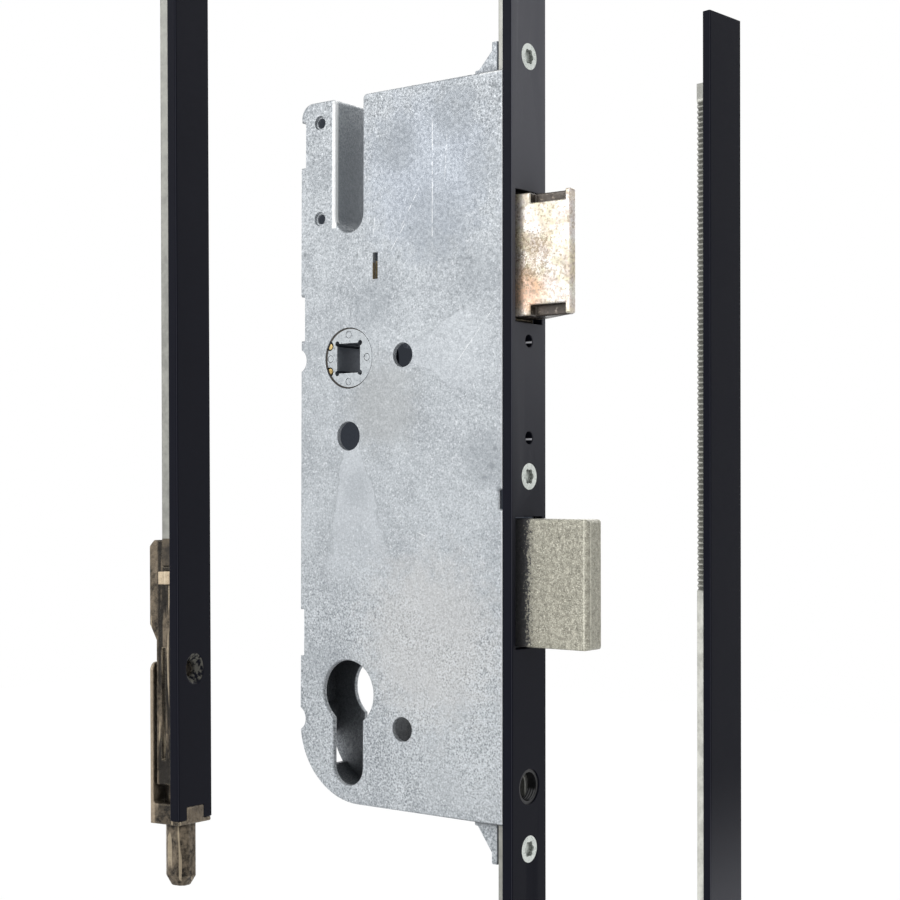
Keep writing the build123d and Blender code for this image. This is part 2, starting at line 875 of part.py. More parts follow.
def make_keepers():
    """Studs with sunk heads on the back of the faceplate."""
    studs = []
    for z in keeper_heights():
        stem = round_x(0, z, keeper_radius, rail_rear + keeper_head, plate_back + plate_thick / 2)
        head = round_x(0, z, keeper_head_radius, rail_rear, rail_rear + keeper_head)
        studs.append(one_solid(stem + head))
    return Compound(children=studs)


def make_toothed_rail():
    """Upper rail with fine teeth on both edges for a rod extension."""
    rail = block(rail_rear, rod_front, -rail_half, rail_half, upper_joint, toothed_top)
    tongue = coupling(upper_joint, -1, 0) & block(rod_rear, rod_front, -rod_half, rod_half, 0, upper_joint)
    rail += tongue
    for z in upper_keepers():
        rail -= keeper_room(z, 1)
    start = toothed_top - tooth_plain
    for side in (-1, 1):
        edge = side * rail_half
        inner = side * (rail_half - tooth_depth)
        points = [(edge + side * over, start)]
        for index in range(tooth_count):
            z = start - index * tooth_pitch
            points.append((edge, z))
            points.append((inner, z - tooth_pitch / 2))
        points.append((edge, start - tooth_count * tooth_pitch))
        points.append((edge + side * over, start - tooth_count * tooth_pitch))
        outline = Polyline(*[(rail_rear - over, y, z) for y, z in points], close=True)
        rail -= extrude(make_face(outline), amount=rail_thick + over * 2, dir=(1, 0, 0))
    marker_half = rail_half - tooth_depth
    for index in range(tooth_count // marker_every + 1):
        z = start - index * tooth_pitch * marker_every
        rail += block(
            rail_rear - marker_rise, rail_rear, -marker_half, marker_half, z - tooth_pitch, z,
        )
    return one_solid(rail)


def make_lower_slide():
    """Inner plate beside the deadbolt with the rack that the pinion lifts."""
    top = reverser_z + rack_pitch * rack_top_share
    low_end = reverser_z - rod_travel - rack_pitch * rack_spare_share
    teeth = rack_points(lower_rack_x, reverser_z, low_end, top, -1)
    root = lower_rack_x + dedendum_share * module
    low = reverser_z - rod_travel - rack_pitch * rack_low_share
    outline = [(root, low)] + teeth + [(root, top), (rod_front, top), (rod_front, low)]
    slide = plate_y(outline, wheel_near, wheel_mid)
    slide += block(root, rod_front, wheel_mid, wheel_far, lower_plate_end, top)
    return one_solid(slide)


def make_lower_rod():
    """Flat rod from the inner plate down behind the faceplate."""
    rod = block(rod_rear, rod_front, -rod_half, rod_half, -lower_joint, lower_rod_top)
    root = lower_rack_x + dedendum_share * module
    rod -= block(
        root - run_gap, rod_front + over, wheel_mid, rod_half + over,
        lower_plate_end, lower_rod_top + over,
    )
    for z in (screw_low, cylinder_screw_z):
        rod -= slot_z(
            screw_slot_half, z - rod_travel - screw_slot_half, z + screw_slot_half,
            rod_rear - over, rod_front + over,
        )
    return one_solid(rod - coupling(-lower_joint, 1, run_gap))


def make_lower_rail():
    """Wider rail that carries the motion down to the shootbolt."""
    end = foot_low + bolt_body_top - rod_overlap
    rail = block(rail_rear, rod_front, -rail_half, rail_half, end, -lower_joint)
    rail += coupling(-lower_joint, 1, 0) & block(rod_rear, rod_front, -rod_half, rod_half, -lower_joint, 0)
    for z in lower_keepers():
        rail -= keeper_room(z, -1)
    for z in fixing_heights():
        if end < z < -lower_joint:
            rail -= slot_z(
                screw_slot_half, z - rod_travel - screw_slot_half, z + screw_slot_half,
                rail_rear - over, rod_front + over,
            )
    return one_solid(rail)


def make_latch_bolt():
    """Bevelled latch head with the corner pockets at top and bottom."""
    tip_x = backset + latch_out
    bevel_x = backset + latch_bevel_start
    points = [
        (latch_back, -latch_half), (tip_x, -latch_half),
        (tip_x, -latch_half + latch_tip), (bevel_x, latch_half), (latch_back, latch_half),
    ]
    outline = Polyline(*[(x, y, latch_low) for x, y in points], close=True)
    head = extrude(make_face(outline), amount=latch_high - latch_low, dir=(0, 0, 1))
    pocket_x0 = backset + latch_pocket_start
    pocket_x1 = backset + latch_pocket_end
    for low, high in (
        (latch_low - over, latch_low + latch_pocket_height),
        (latch_high - latch_pocket_height, latch_high + over),
    ):
        head -= block(pocket_x0, pocket_x1, -latch_half - over, -latch_half + latch_pocket_depth, low, high)
    tip_edges = [e for e in head.edges().filter_by(Axis.Z) if e.center().X > tip_x - over]
    head = fillet(tip_edges, latch_edge)
    return one_solid(head)


def make_latch_tail():
    """Flat tail plate with the slot that the follower's arm pin moves."""
    tail = block(tail_rear, latch_back, tail_near, tail_far, tail_low, tail_high)
    gap = arm_pin_radius + side_gap
    slot_high = arm_reach + arm_pin_radius + side_gap
    slot_low = arm_z - arm_pin_radius - side_gap
    tail -= block(arm_x - gap, arm_x + gap, tail_near - over, tail_far + over, slot_low, slot_high)
    return one_solid(tail)


def make_latch_spring():
    """Coil spring between the stop and the back of the latch."""
    length = latch_back - stop_x - 2 * run_gap - spring_wire
    coil = helix_spring(latch_spring_radius, spring_wire, length, latch_spring_turns)
    start = stop_x + run_gap + spring_wire / 2
    return Pos(start, latch_spring_y, latch_spring_z) * Rot(Y=90) * coil


def make_spring_stop():
    """Upright tab of the tray that the latch spring pushes against."""
    low = latch_spring_z - latch_spring_radius - spring_wire
    high = latch_spring_z + latch_spring_radius + spring_wire
    return block(stop_x - stop_thick, stop_x, -inner_half, core_far - run_gap, low, high)


def make_deadbolt():
    """Cast deadbolt head with rounded front edges."""
    tip_x = backset + bolt_travel
    head = block(bolt_back, tip_x, -bolt_half, bolt_half, bolt_low, bolt_high)
    front = [e for e in head.edges() if e.center().X > tip_x - over / 2]
    return one_solid(fillet(front, bolt_edge))


def make_deadbolt_tail():
    """Tail plate with the rack below and the tumbler ramp above."""
    web_low = bolt_rack_z + dedendum_share * module
    low = transfer_x - rack_pitch * rack_top_share
    high = transfer_x + bolt_travel + rack_pitch * rack_spare_share
    teeth = rack_points(bolt_rack_z, transfer_x, low, high, -1)
    teeth = [(x, z) for z, x in teeth]
    outline = [(bolt_tail_rear, web_low)] + teeth + [(bolt_back, web_low)]
    outline += [(bolt_back, bolt_tail_top + ramp_rise), (bolt_back - ramp_flat, bolt_tail_top + ramp_rise)]
    outline += [(nose_x, bolt_tail_top), (bolt_tail_rear, bolt_tail_top)]
    return one_solid(plate_y(outline, -bolt_tail_half, bolt_tail_half))


def make_transfer_gear():
    """Wheel that the cylinder's cam turns and that drives the deadbolt."""
    wheel = gear_plate(transfer_x, transfer_z, transfer_teeth, -transfer_half, transfer_half, 90)
    bore = round_y(
        transfer_x, transfer_z, post_radius + bore_gap, -transfer_half - over, transfer_half + over,
    )
    return one_solid(wheel - bore)


def make_tumbler():
    """Locking lever that rides on the ramp of the deadbolt's tail."""
    y0 = -bolt_tail_half
    y1 = bolt_tail_half
    nose_z = bolt_tail_top + side_gap + tumbler_width / 2
    lever = round_y(tumbler_pivot_x, tumbler_pivot_z, tumbler_radius, y0, y1)
    lever += round_y(nose_x, nose_z, tumbler_width / 2, y0, y1)
    length = math.hypot(nose_x - tumbler_pivot_x, nose_z - tumbler_pivot_z)
    angle = math.degrees(math.atan2(nose_z - tumbler_pivot_z, nose_x - tumbler_pivot_x))
    beam = block(0, length, y0, y1, -tumbler_width / 2, tumbler_width / 2)
    lever += Pos(tumbler_pivot_x, 0, tumbler_pivot_z) * Rot(Y=-angle) * beam
    bore = round_y(tumbler_pivot_x, tumbler_pivot_z, tumbler_post + bore_gap, y0 - over, y1 + over)
    return one_solid(lever - bore)


def make_plunger():
    """Block that the follower's lobe presses down on the return spring."""
    return block(
        plunger_rear, plunger_front, plunger_near, plunger_far,
        plunger_top - plunger_height, plunger_top,
    )


def make_return_spring():
    """Coil spring under the plunger."""
    top = plunger_top - plunger_height - run_gap - spring_wire / 2
    low = plunger_seat + run_gap + spring_wire / 2
    coil = helix_spring(return_spring_radius, spring_wire, top - low, return_spring_turns)
    x = (plunger_front + plunger_rear) / 2
    y = (plunger_near + plunger_far) / 2
    return Pos(x, y, low) * coil


def make_spring_seat():
    """Ledge of the tray under the return spring."""
    return block(
        -case_rear + wall, plunger_front, -inner_half, plunger_far,
        plunger_seat - seat_thick, plunger_seat,
    )


def make_shootbolt_guide():
    """Foot casting: base block, tab in the faceplate notch, rear wall and screw boss."""
    foot = block(foot_rear, plate_back, -foot_half, foot_half, foot_low, foot_low + foot_height)
    ledge = block(plate_back, backset, -foot_half, foot_half, foot_low, plate_bottom)
    tab = block(plate_back, backset, -foot_tab_half, foot_tab_half, foot_low, plate_bottom + foot_tab_high)
    wall_top = foot_low + guide_high
    rear = block(foot_rear, foot_rear + guide_wall_thick, -foot_half, foot_half, foot_low, wall_top)
    top_edges = [e for e in rear.edges().filter_by(Axis.X) if e.center().Z > wall_top - over]
    rear = fillet(top_edges, guide_corner)
    guide = foot + ledge + tab + rear
    guide += round_x(0, fixing_low_z, boss_radius, foot_rear, plate_back)
    guide -= round_x(0, fixing_low_z, fixing_radius, foot_rear - over, backset)
    room = pin_bar(run_gap, foot_low - over, foot_low + foot_height + over)
    return one_solid(guide - room)


def pin_bar(gap, z0, z1):
    """Square bar of the shootbolt pin with its corners cut off."""
    half = pin_half + gap
    bar = block(pin_x - half, pin_x + half, -half, half, z0, z1)
    return chamfer(bar.edges().filter_by(Axis.Z), pin_corner)


def make_shootbolt():
    """Bottom shootbolt: pin, slotted body and the head that takes the rail."""
    tip = foot_low - pin_out
    body_low = foot_low + bolt_body_low
    pin = pin_bar(0, tip + pin_point, body_low + pin_root)
    big = pin.faces().sort_by(Axis.Z)[0]
    small = scale(big, by=pin_point_share)
    centre = small.center()
    small = Pos(pin_x - centre.X, -centre.Y, tip - centre.Z) * small
    point = loft([small, big])
    front = rod_front - bolt_body_front_gap
    bend = foot_low + bolt_body_bend
    slope_top = bend + bolt_body_slope
    top = foot_low + bolt_body_top
    outline = [
        (bolt_body_rear, body_low), (front, body_low), (front, top),
        (bolt_head_rear + head_chamfer, top), (bolt_head_rear, top - head_chamfer),
        (bolt_head_rear, slope_top), (bolt_body_rear, bend),
    ]
    body = plate_y(outline, -bolt_body_half, bolt_body_half)
    slot_half = boss_radius + side_gap
    slot = slot_z(
        slot_half, fixing_low_z - rod_travel - slot_half, fixing_low_z + slot_half,
        bolt_head_rear - over, front + over,
    )
    rail_end = top - rod_overlap
    body -= block(rail_rear, front + over, -rail_half - over, rail_half + over, rail_end, top + over)
    key_top = top - key_drop
    body -= block(
        front - key_depth, front + over, -bolt_body_half - over, bolt_body_half + over,
        key_top - key_height, key_top,
    )
    for side in (-1, 1):
        body -= block(
            bolt_body_rear + groove_edge, front - groove_edge, side * (bolt_body_half - groove_depth),
            side * (bolt_body_half + over), body_low + groove_rise, bend - groove_edge,
        )
    return one_solid(pin + point + body - slot)


def make_shootbolt_key():
    """Brass cross key that ties the rail to the shootbolt."""
    front = rod_front - bolt_body_front_gap
    key_top = foot_low + bolt_body_top - key_drop
    return block(
        front - key_depth, front, -bolt_body_half, bolt_body_half, key_top - key_height, key_top,
    )


def build_parts():
    """Every node of the lock by name."""
    return {
        "faceplate": make_faceplate(),
        "case_tray": make_case_tray(),
        "case_cover": make_case_cover(),
        "case_rivets": make_case_rivets(),
        "wheel_posts": make_wheel_posts(),
        "upper_lug": make_lug(1, case_up, screw_top, lug_up),
        "lower_lug": make_lug(-1, -case_down, screw_low, lug_down),
        "faceplate_screws": make_faceplate_screws(),
        "middle_fixing_block": make_middle_block(),
        "deadbolt_guide": make_bolt_guide(),
        "latch_guide": make_latch_guide(),
        "cylinder_screw_eyelet": make_eyelet(),
        "latch_spring_stop": make_spring_stop(),
        "return_spring_seat": make_spring_seat(),
        "rail_keepers": make_keepers(),
        "shootbolt_guide": make_shootbolt_guide(),
        "follower": make_follower(),
        "follower_brass_pins": make_follower_inserts(),
        "idler_wheel": make_idler(),
        "reversing_pinion": make_reverser(),
        "upper_slide": make_upper_slide(),
        "upper_rod": make_upper_rod(),
        "toothed_rail": make_toothed_rail(),
        "lower_slide": make_lower_slide(),
        "lower_rod": make_lower_rod(),
        "lower_rail": make_lower_rail(),
        "shootbolt": make_shootbolt(),
        "shootbolt_key": make_shootbolt_key(),
        "latch_bolt": make_latch_bolt(),
        "latch_tail": make_latch_tail(),
        "latch_spring": make_latch_spring(),
        "deadbolt": make_deadbolt(),
        "deadbolt_tail": make_deadbolt_tail(),
        "transfer_gear": make_transfer_gear(),
        "deadbolt_tumbler": make_tumbler(),
        "return_plunger": make_plunger(),
        "return_spring": make_return_spring(),
    }


os.makedirs("parts", exist_ok=True)
print("rod travel", round(rod_travel, 3), "plunger travel", round(plunger_travel, 3))
for node, shape in build_parts().items():
    export_step(shape, f"parts/{node}.step")
    print(node, len(shape.solids()))
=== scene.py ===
import json
import math

import bpy
from mathutils import Matrix, Vector

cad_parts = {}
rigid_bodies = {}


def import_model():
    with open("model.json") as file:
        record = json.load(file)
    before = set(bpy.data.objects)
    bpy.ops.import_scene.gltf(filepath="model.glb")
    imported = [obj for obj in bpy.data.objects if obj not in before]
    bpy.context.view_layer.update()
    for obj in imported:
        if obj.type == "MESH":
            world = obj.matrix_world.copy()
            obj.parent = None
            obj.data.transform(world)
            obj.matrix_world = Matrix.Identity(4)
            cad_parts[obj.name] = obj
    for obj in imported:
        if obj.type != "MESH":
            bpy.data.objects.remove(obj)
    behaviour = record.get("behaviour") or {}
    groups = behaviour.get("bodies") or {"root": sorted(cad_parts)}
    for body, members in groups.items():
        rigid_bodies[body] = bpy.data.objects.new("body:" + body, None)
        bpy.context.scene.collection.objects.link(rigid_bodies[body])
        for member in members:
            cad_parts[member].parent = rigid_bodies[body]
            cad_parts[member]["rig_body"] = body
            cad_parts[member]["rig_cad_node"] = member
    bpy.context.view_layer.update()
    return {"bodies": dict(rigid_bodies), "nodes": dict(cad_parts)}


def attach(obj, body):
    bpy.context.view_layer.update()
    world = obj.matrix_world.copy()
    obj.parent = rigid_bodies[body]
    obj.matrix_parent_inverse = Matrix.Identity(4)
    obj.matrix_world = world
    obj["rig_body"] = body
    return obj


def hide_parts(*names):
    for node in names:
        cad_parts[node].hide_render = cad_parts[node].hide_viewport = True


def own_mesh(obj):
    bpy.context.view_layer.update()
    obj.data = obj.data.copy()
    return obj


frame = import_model()
nodes = frame["nodes"]
scene = bpy.context.scene
mm = 0.001


# small helpers; lengths in the dictionaries are in millimetres unless a note says otherwise
def deselectAll():
    if bpy.context.object and bpy.context.object.mode != "OBJECT":
        bpy.ops.object.mode_set(mode="OBJECT")
    bpy.ops.object.select_all(action="DESELECT")


def makeActive(piece):
    deselectAll()
    piece.select_set(True)
    bpy.context.view_layer.objects.active = piece


def applyPlace():
    bpy.ops.object.transform_apply(location=True, rotation=True, scale=True)


def smoothBy(degrees):
    bpy.ops.object.shade_smooth_by_angle(angle=math.radians(degrees))


def setName(piece, name):
    piece.name = name
    piece.data.name = name


def copyOf(source, name):
    copy = source.copy()
    copy.data = source.data.copy()
    setName(copy, name)
    copy.parent = None
    scene.collection.objects.link(copy)
    return copy


def setFinish(piece, finish):
    piece.data.materials.clear()
    piece.data.materials.append(finish)


def inMetres(lengths):
    return [length * mm for length in lengths]


def colour(red, green, blue):
    return (red, green, blue, 1.0)


# node helpers; each gives sockets
def addNode(tree, kind, inputs, **settings):
    node = tree.nodes.new(kind)
    for key, value in settings.items():
        setattr(node, key, value)
    for key, value in inputs.items():
        if isinstance(value, bpy.types.NodeSocket):
            tree.links.new(value, node.inputs[key])
        else:
            node.inputs[key].default_value = value
    return node.outputs


def mathOf(tree, operation, first, second=0.0, clamp=False):
    return addNode(tree, "ShaderNodeMath", {0: first, 1: second}, operation=operation, use_clamp=clamp)[0]


def vectorOf(tree, operation, first, second=(0.0, 0.0, 0.0)):
    return addNode(tree, "ShaderNodeVectorMath", {0: first, 1: second}, operation=operation)


def product(tree, first, *others):
    for other in others:
        first = mathOf(tree, "MULTIPLY", first, other)
    return first


def plus(tree, first, second):
    return mathOf(tree, "ADD", first, second)


def minus(tree, first, second, clamp=False):
    return mathOf(tree, "SUBTRACT", first, second, clamp)


def sizeOf(tree, value):
    return mathOf(tree, "ABSOLUTE", value)


def distanceOf(tree, first, second):
    return mathOf(tree, "SQRT", plus(tree, product(tree, first, first), product(tree, second, second)))


def splitOf(tree, place):
    return addNode(tree, "ShaderNodeSeparateXYZ", {0: place})


def movedBy(tree, place, shift, turn=0.0):
    turned = {"Vector": place, "Location": shift, "Rotation": (0.0, turn, 0.0)}
    return addNode(tree, "ShaderNodeMapping", turned)[0]


def rangeOf(tree, value, low, high, toLow=0.0, toHigh=1.0):
    limits = {"Value": value, "From Min": low, "From Max": high, "To Min": toLow, "To Max": toHigh}
    return addNode(tree, "ShaderNodeMapRange", limits, clamp=True, interpolation_type="SMOOTHSTEP")["Result"]


def spanOf(tree, value, low, high, toLow=0.0, toHigh=1.0):
    # a range whose limits are in millimetres
    return rangeOf(tree, value, low * mm, high * mm, toLow, toHigh)


def noiseOf(tree, place, scale, detail, roughness=0.5):
    grain = {"Vector": place, "Scale": scale, "Detail": detail, "Roughness": roughness}
    return addNode(tree, "ShaderNodeTexNoise", grain)[0]


def wavesOf(tree, place, scale, axis):
    waves = {"Vector": place, "Scale": scale}
    return addNode(tree, "ShaderNodeTexWave", waves, wave_type="BANDS", bands_direction=axis)[1]


def mixOf(tree, factor, first, second):
    return addNode(tree, "ShaderNodeMix", {0: factor, 6: first, 7: second}, data_type="RGBA")[2]


def layer(tree, base, tint, *masks):
    # a colour over the base, where all the masks are strong
    return mixOf(tree, product(tree, *masks), base, tint)


def newGroup(name, inputs, outputs=("mask",)):
    # an input without a value is a vector
    group = bpy.data.node_groups.new(name, "ShaderNodeTree")
    for label, value in inputs.items():
        kind = "NodeSocketVector" if value is None else "NodeSocketFloat"
        socket = group.interface.new_socket(name=label, in_out="INPUT", socket_type=kind)
        if value is not None:
            socket.default_value = value
    for label in outputs:
        group.interface.new_socket(name=label, in_out="OUTPUT", socket_type="NodeSocketFloat")
    return group, group.nodes.new("NodeGroupInput").outputs, group.nodes.new("NodeGroupOutput").inputs


def useGroup(tree, group, **inputs):
    return addNode(tree, "ShaderNodeGroup", inputs, node_tree=group)


def maskOf(tree, group, **inputs):
    return useGroup(tree, group, **inputs)["mask"]


# shared effects
mottleValues = {"detail": (3.0, 4.0), "finer": 4.3, "wideShare": 0.6, "fineShare": 0.4}


def makeMottle():
    # soft patches of two sizes, from 0 to 1
    v = mottleValues
    group, given, out = newGroup("mottle", {"vector": None, "scale": 200.0, "sharpness": 0.25})
    wide = noiseOf(group, given["vector"], given["scale"], v["detail"][0])
    fine = noiseOf(group, given["vector"], product(group, given["scale"], v["finer"]), v["detail"][1])
    blend = plus(group, product(group, wide, v["wideShare"]), product(group, fine, v["fineShare"]))
    low = minus(group, 0.5, given["sharpness"])
    high = plus(group, 0.5, given["sharpness"])
    group.links.new(rangeOf(group, blend, low, high), out["mask"])
    return group


speckValues = {"detail": 2.0, "roughness": 0.65, "edge": 0.78, "gain": 0.3, "soft": 0.07}
scratchValues = {"detail": 1.0, "edge": 0.82, "gain": 0.35, "soft": 0.05}


def overEdge(group, noise, amount, v):
    # where the noise is over an edge that sinks as the amount grows
    edge = minus(group, v["edge"], product(group, amount, v["gain"]))
    return rangeOf(group, noise, edge, plus(group, edge, v["soft"]))


def makeSpecks():
    # small scattered dots; more of them where amount is high
    v = speckValues
    group, given, out = newGroup("specks", {"vector": None, "scale": 900.0, "amount": 0.3})
    dots = noiseOf(group, given["vector"], given["scale"], v["detail"], v["roughness"])
    group.links.new(overEdge(group, dots, given["amount"], v), out["mask"])
    return group


def makeScratches():
    # fine straight lines along Z, broken up along their length
    v = scratchValues
    group, given, out = newGroup("scratches",
                                 {"vector": None, "fineness": 900.0, "length": 18.0, "amount": 0.2})
    spread = addNode(group, "ShaderNodeCombineXYZ",
                     {0: given["fineness"], 1: given["fineness"], 2: given["length"]})
    stretched = vectorOf(group, "MULTIPLY", given["vector"], spread[0])
    lines = noiseOf(group, stretched[0], 1.0, v["detail"])
    group.links.new(overEdge(group, lines, given["amount"], v), out["mask"])
    return group


wearValues = {"samples": 6, "scale": 700.0, "detail": 3.0, "broken": (0.3, 0.55)}


def makeEdgeWear():
    # strong along sharp edges, broken by noise
    v = wearValues
    group, given, out = newGroup("edgeWear", {"vector": None, "reach": 0.0004, "low": 0.02, "high": 0.16})
    rounded = addNode(group, "ShaderNodeBevel", {"Radius": given["reach"]}, samples=v["samples"])[0]
    shape = addNode(group, "ShaderNodeNewGeometry", {})["Normal"]
    bend = minus(group, 1.0, vectorOf(group, "DOT_PRODUCT", rounded, shape)["Value"])
    edge = rangeOf(group, bend, given["low"], given["high"])
    noise = noiseOf(group, given["vector"], v["scale"], v["detail"])
    group.links.new(product(group, edge, rangeOf(group, noise, *v["broken"])), out["mask"])
    return group


blotValues = {"scale": 260.0, "detail": 4.0, "spare": 0.35, "core": 0.35}


def makeBlot():
    # soft round area on the side faces, round one place in X and Z
    v = blotValues
    group, given, out = newGroup("blot", {"vector": None, "x": 0.0, "z": 0.0, "reach": 0.01})
    noise = noiseOf(group, given["vector"], v["scale"], v["detail"])
    parts = splitOf(group, given["vector"])
    away = distanceOf(group, minus(group, parts[0], given["x"]), minus(group, parts[2], given["z"]))
    ragged = product(group, given["reach"], plus(group, noise, v["spare"]))
    group.links.new(rangeOf(group, away, product(group, ragged, v["core"]), ragged, 1.0, 0.0), out["mask"])
    return group


fanValues = {"scale": 160.0, "detail": 4.0, "wander": 0.25, "side": (-0.02, 0.03), "core": 0.45, "rim": 0.025}


def makeFan():
    # wedge that opens along one direction from a point in X and Z
    v = fanValues
    inputs = {"vector": None, "x": 0.0, "z": 0.0, "turn": 0.0, "halfAngle": 0.5, "reach": 0.03}
    group, given, out = newGroup("fan", inputs, ("mask", "rim"))
    start = addNode(group, "ShaderNodeCombineXYZ", {0: given["x"], 1: 0.0, 2: given["z"]})
    moved = vectorOf(group, "SUBTRACT", given["vector"], start[0])[0]
    parts = splitOf(group, moved)
    bearing = mathOf(group, "ARCTAN2", parts[2], parts[0])
    noise = noiseOf(group, given["vector"], v["scale"], v["detail"])
    wander = product(group, minus(group, noise, 0.5), v["wander"])
    turned = plus(group, sizeOf(group, minus(group, bearing, given["turn"])), wander)
    margin = minus(group, given["halfAngle"], turned)
    inside = rangeOf(group, margin, *v["side"])
    away = vectorOf(group, "LENGTH", moved)["Value"]
    fade = rangeOf(group, away, product(group, given["reach"], v["core"]), given["reach"], 1.0, 0.0)
    group.links.new(product(group, inside, fade), out["mask"])
    near = rangeOf(group, sizeOf(group, margin), 0.0, v["rim"], 1.0, 0.0)
    group.links.new(product(group, near, fade), out["rim"])
    return group


def makeHollowShade():
    # painted shade: strong in corners and recesses, from 0 to 1
    group, given, out = newGroup("hollows", {"reach": 0.006, "low": 0.25, "high": 0.85})
    shade = addNode(group, "ShaderNodeAmbientOcclusion", {"Distance": given["reach"]}, samples=8)["AO"]
    group.links.new(rangeOf(group, shade, given["low"], given["high"], 1.0, 0.0), out["mask"])
    return group


def makeZone():
    # box in space with soft sides, from 0 to 1
    group, given, out = newGroup("zone", {"vector": None, "middle": None, "half": None, "soft": 0.0005})
    moved = vectorOf(group, "SUBTRACT", given["vector"], given["middle"])[0]
    past = vectorOf(group, "SUBTRACT", vectorOf(group, "ABSOLUTE", moved)[0], given["half"])[0]
    parts = splitOf(group, past)
    most = mathOf(group, "MAXIMUM", mathOf(group, "MAXIMUM", parts[0], parts[1]), parts[2])
    soft = given["soft"]
    group.links.new(rangeOf(group, most, product(group, soft, -1.0), soft, 1.0, 0.0), out["mask"])
    return group


mottle = makeMottle()
specks = makeSpecks()
scratches = makeScratches()
edgeWear = makeEdgeWear()
blot = makeBlot()
fan = makeFan()
hollows = makeHollowShade()
zone = makeZone()
print("shared effects made")


def zoneOf(tree, place, middle, half, soft=0.5):
    return maskOf(tree, zone, vector=place, middle=inMetres(middle), half=inMetres(half), soft=soft * mm)


def blotOf(tree, place, x, z, reach):
    return maskOf(tree, blot, vector=place, x=x * mm, z=z * mm, reach=reach * mm)


# finishes
def newFinish(name, metallic):
    finish = bpy.data.materials.new(name)
    finish.use_nodes = True
    tree = finish.node_tree
    shader = tree.nodes["Principled BSDF"]
    shader.inputs["Metallic"].default_value = metallic
    place = tree.nodes.new("ShaderNodeTexCoord").outputs["Object"]
    return finish, tree, shader, place


def joinFinish(tree, shader, base, spread, height, v):
    # roughness goes from the first value to the second as the spread does from 0 to 1
    bump = {"Height": height, "Distance": v["depth"] * mm, "Strength": v["strength"]}
    tree.links.new(base, shader.inputs["Base Color"])
    tree.links.new(rangeOf(tree, spread, 0.0, 1.0, *v["roughness"]), shader.inputs["Roughness"])
    tree.links.new(addNode(tree, "ShaderNodeBump", bump)[0], shader.inputs["Normal"])


black = colour(0.0, 0.0, 0.0)
insideGlow = colour(0.030, 0.034, 0.042)


def addGlow(tree, shader, mask, tint=insideGlow):
    # little light that gets about inside the closed case
    tree.links.new(mixOf(tree, mask, black, tint), shader.inputs["Emission Color"])
    shader.inputs["Emission Strength"].default_value = 1.0


# tool fans, stains, scuffs and scratches on the near wall of the case
caseMarks = {
    "fans": [{"x": 17 * mm, "z": 0.0, "turn": 0.02, "halfAngle": 0.46, "reach": 42 * mm},
             {"x": 0.6 * mm, "z": -14 * mm, "turn": -1.50, "halfAngle": 0.27, "reach": 62 * mm}],
    "fanShares": (0.42, 0.46), "fan": colour(0.56, 0.59, 0.62), "rim": colour(0.27, 0.29, 0.31),
    "rimShare": 0.34,
    # x, z, reach, share and colour
    "patches": [(38.0, -100.0, 40.0, 0.45, colour(0.58, 0.61, 0.63)),
                (28.0, -76.0, 36.0, 0.5, colour(0.60, 0.59, 0.575)),
                (27.0, 48.0, 34.0, 0.38, colour(0.42, 0.47, 0.56)),
                (12.0, -13.0, 20.0, 0.5, colour(0.37, 0.38, 0.38))],
    # x, z and reach
    "scuffs": [(48.5, -30.0, 1.6), (49.5, -25.5, 1.2), (46.0, -33.0, 1.1), (50.5, -36.0, 1.3),
               (-16.0, 30.0, 1.2), (49.0, 68.5, 1.5), (3.0, 28.0, 1.0), (17.5, 26.5, 0.9), (21.5, 34.0, 0.7)],
    "scuff": colour(0.13, 0.145, 0.16), "scuffShare": 0.55,
    # x, z, reach and share
    "clouds": [(17.0, 57.0, 12.0, 0.55), (36.0, 64.0, 13.0, 0.5), (30.0, 34.0, 18.0, 0.4),
               (8.0, 14.0, 12.0, 0.35), (46.0, 48.0, 11.0, 0.4), (44.0, 20.0, 12.0, 0.35),
               (47.0, -28.0, 12.0, 0.38), (-8.0, -84.0, 12.0, 0.3), (-10.0, 52.0, 9.0, 0.32),
               (3.0, -36.0, 8.0, 0.25)],
    "cloud": colour(0.27, 0.295, 0.32),
    # start, end and half width
    "lines": [((29.0, 64.0), (29.0, 27.0), 0.16), ((21.0, 37.0), (13.5, 26.5), 0.16),
              ((26.0, 47.0), (17.5, 33.0), 0.12), ((34.0, 60.0), (33.0, 44.0), 0.1),
              ((9.5, 40.0), (8.5, 31.0), 0.12), ((22.0, -47.0), (30.0, -49.5), 0.1),
              ((31.5, -52.0), (33.0, -60.0), 0.12), ((14.0, -70.0), (24.0, -82.0), 0.1),
              ((36.0, -4.0), (50.0, 12.0), 0.1)],
    "line": colour(0.97, 0.98, 0.98), "lineShare": 0.65, "lineFade": 4.0, "lineCore": 0.4,
    "brokenNoise": (500.0, 3.0), "broken": (0.38, 0.55),
    "upright": {"fineness": 620.0, "length": 9.0, "amount": 0.22}, "uprightShare": 0.45,
    "slant": {"fineness": 560.0, "length": 14.0, "amount": 0.14}, "slantShare": 0.35,
    "slantShift": (0.2, 0.0, 0.1), "slantTurn": -0.42, "scratch": colour(0.80, 0.83, 0.87),
}


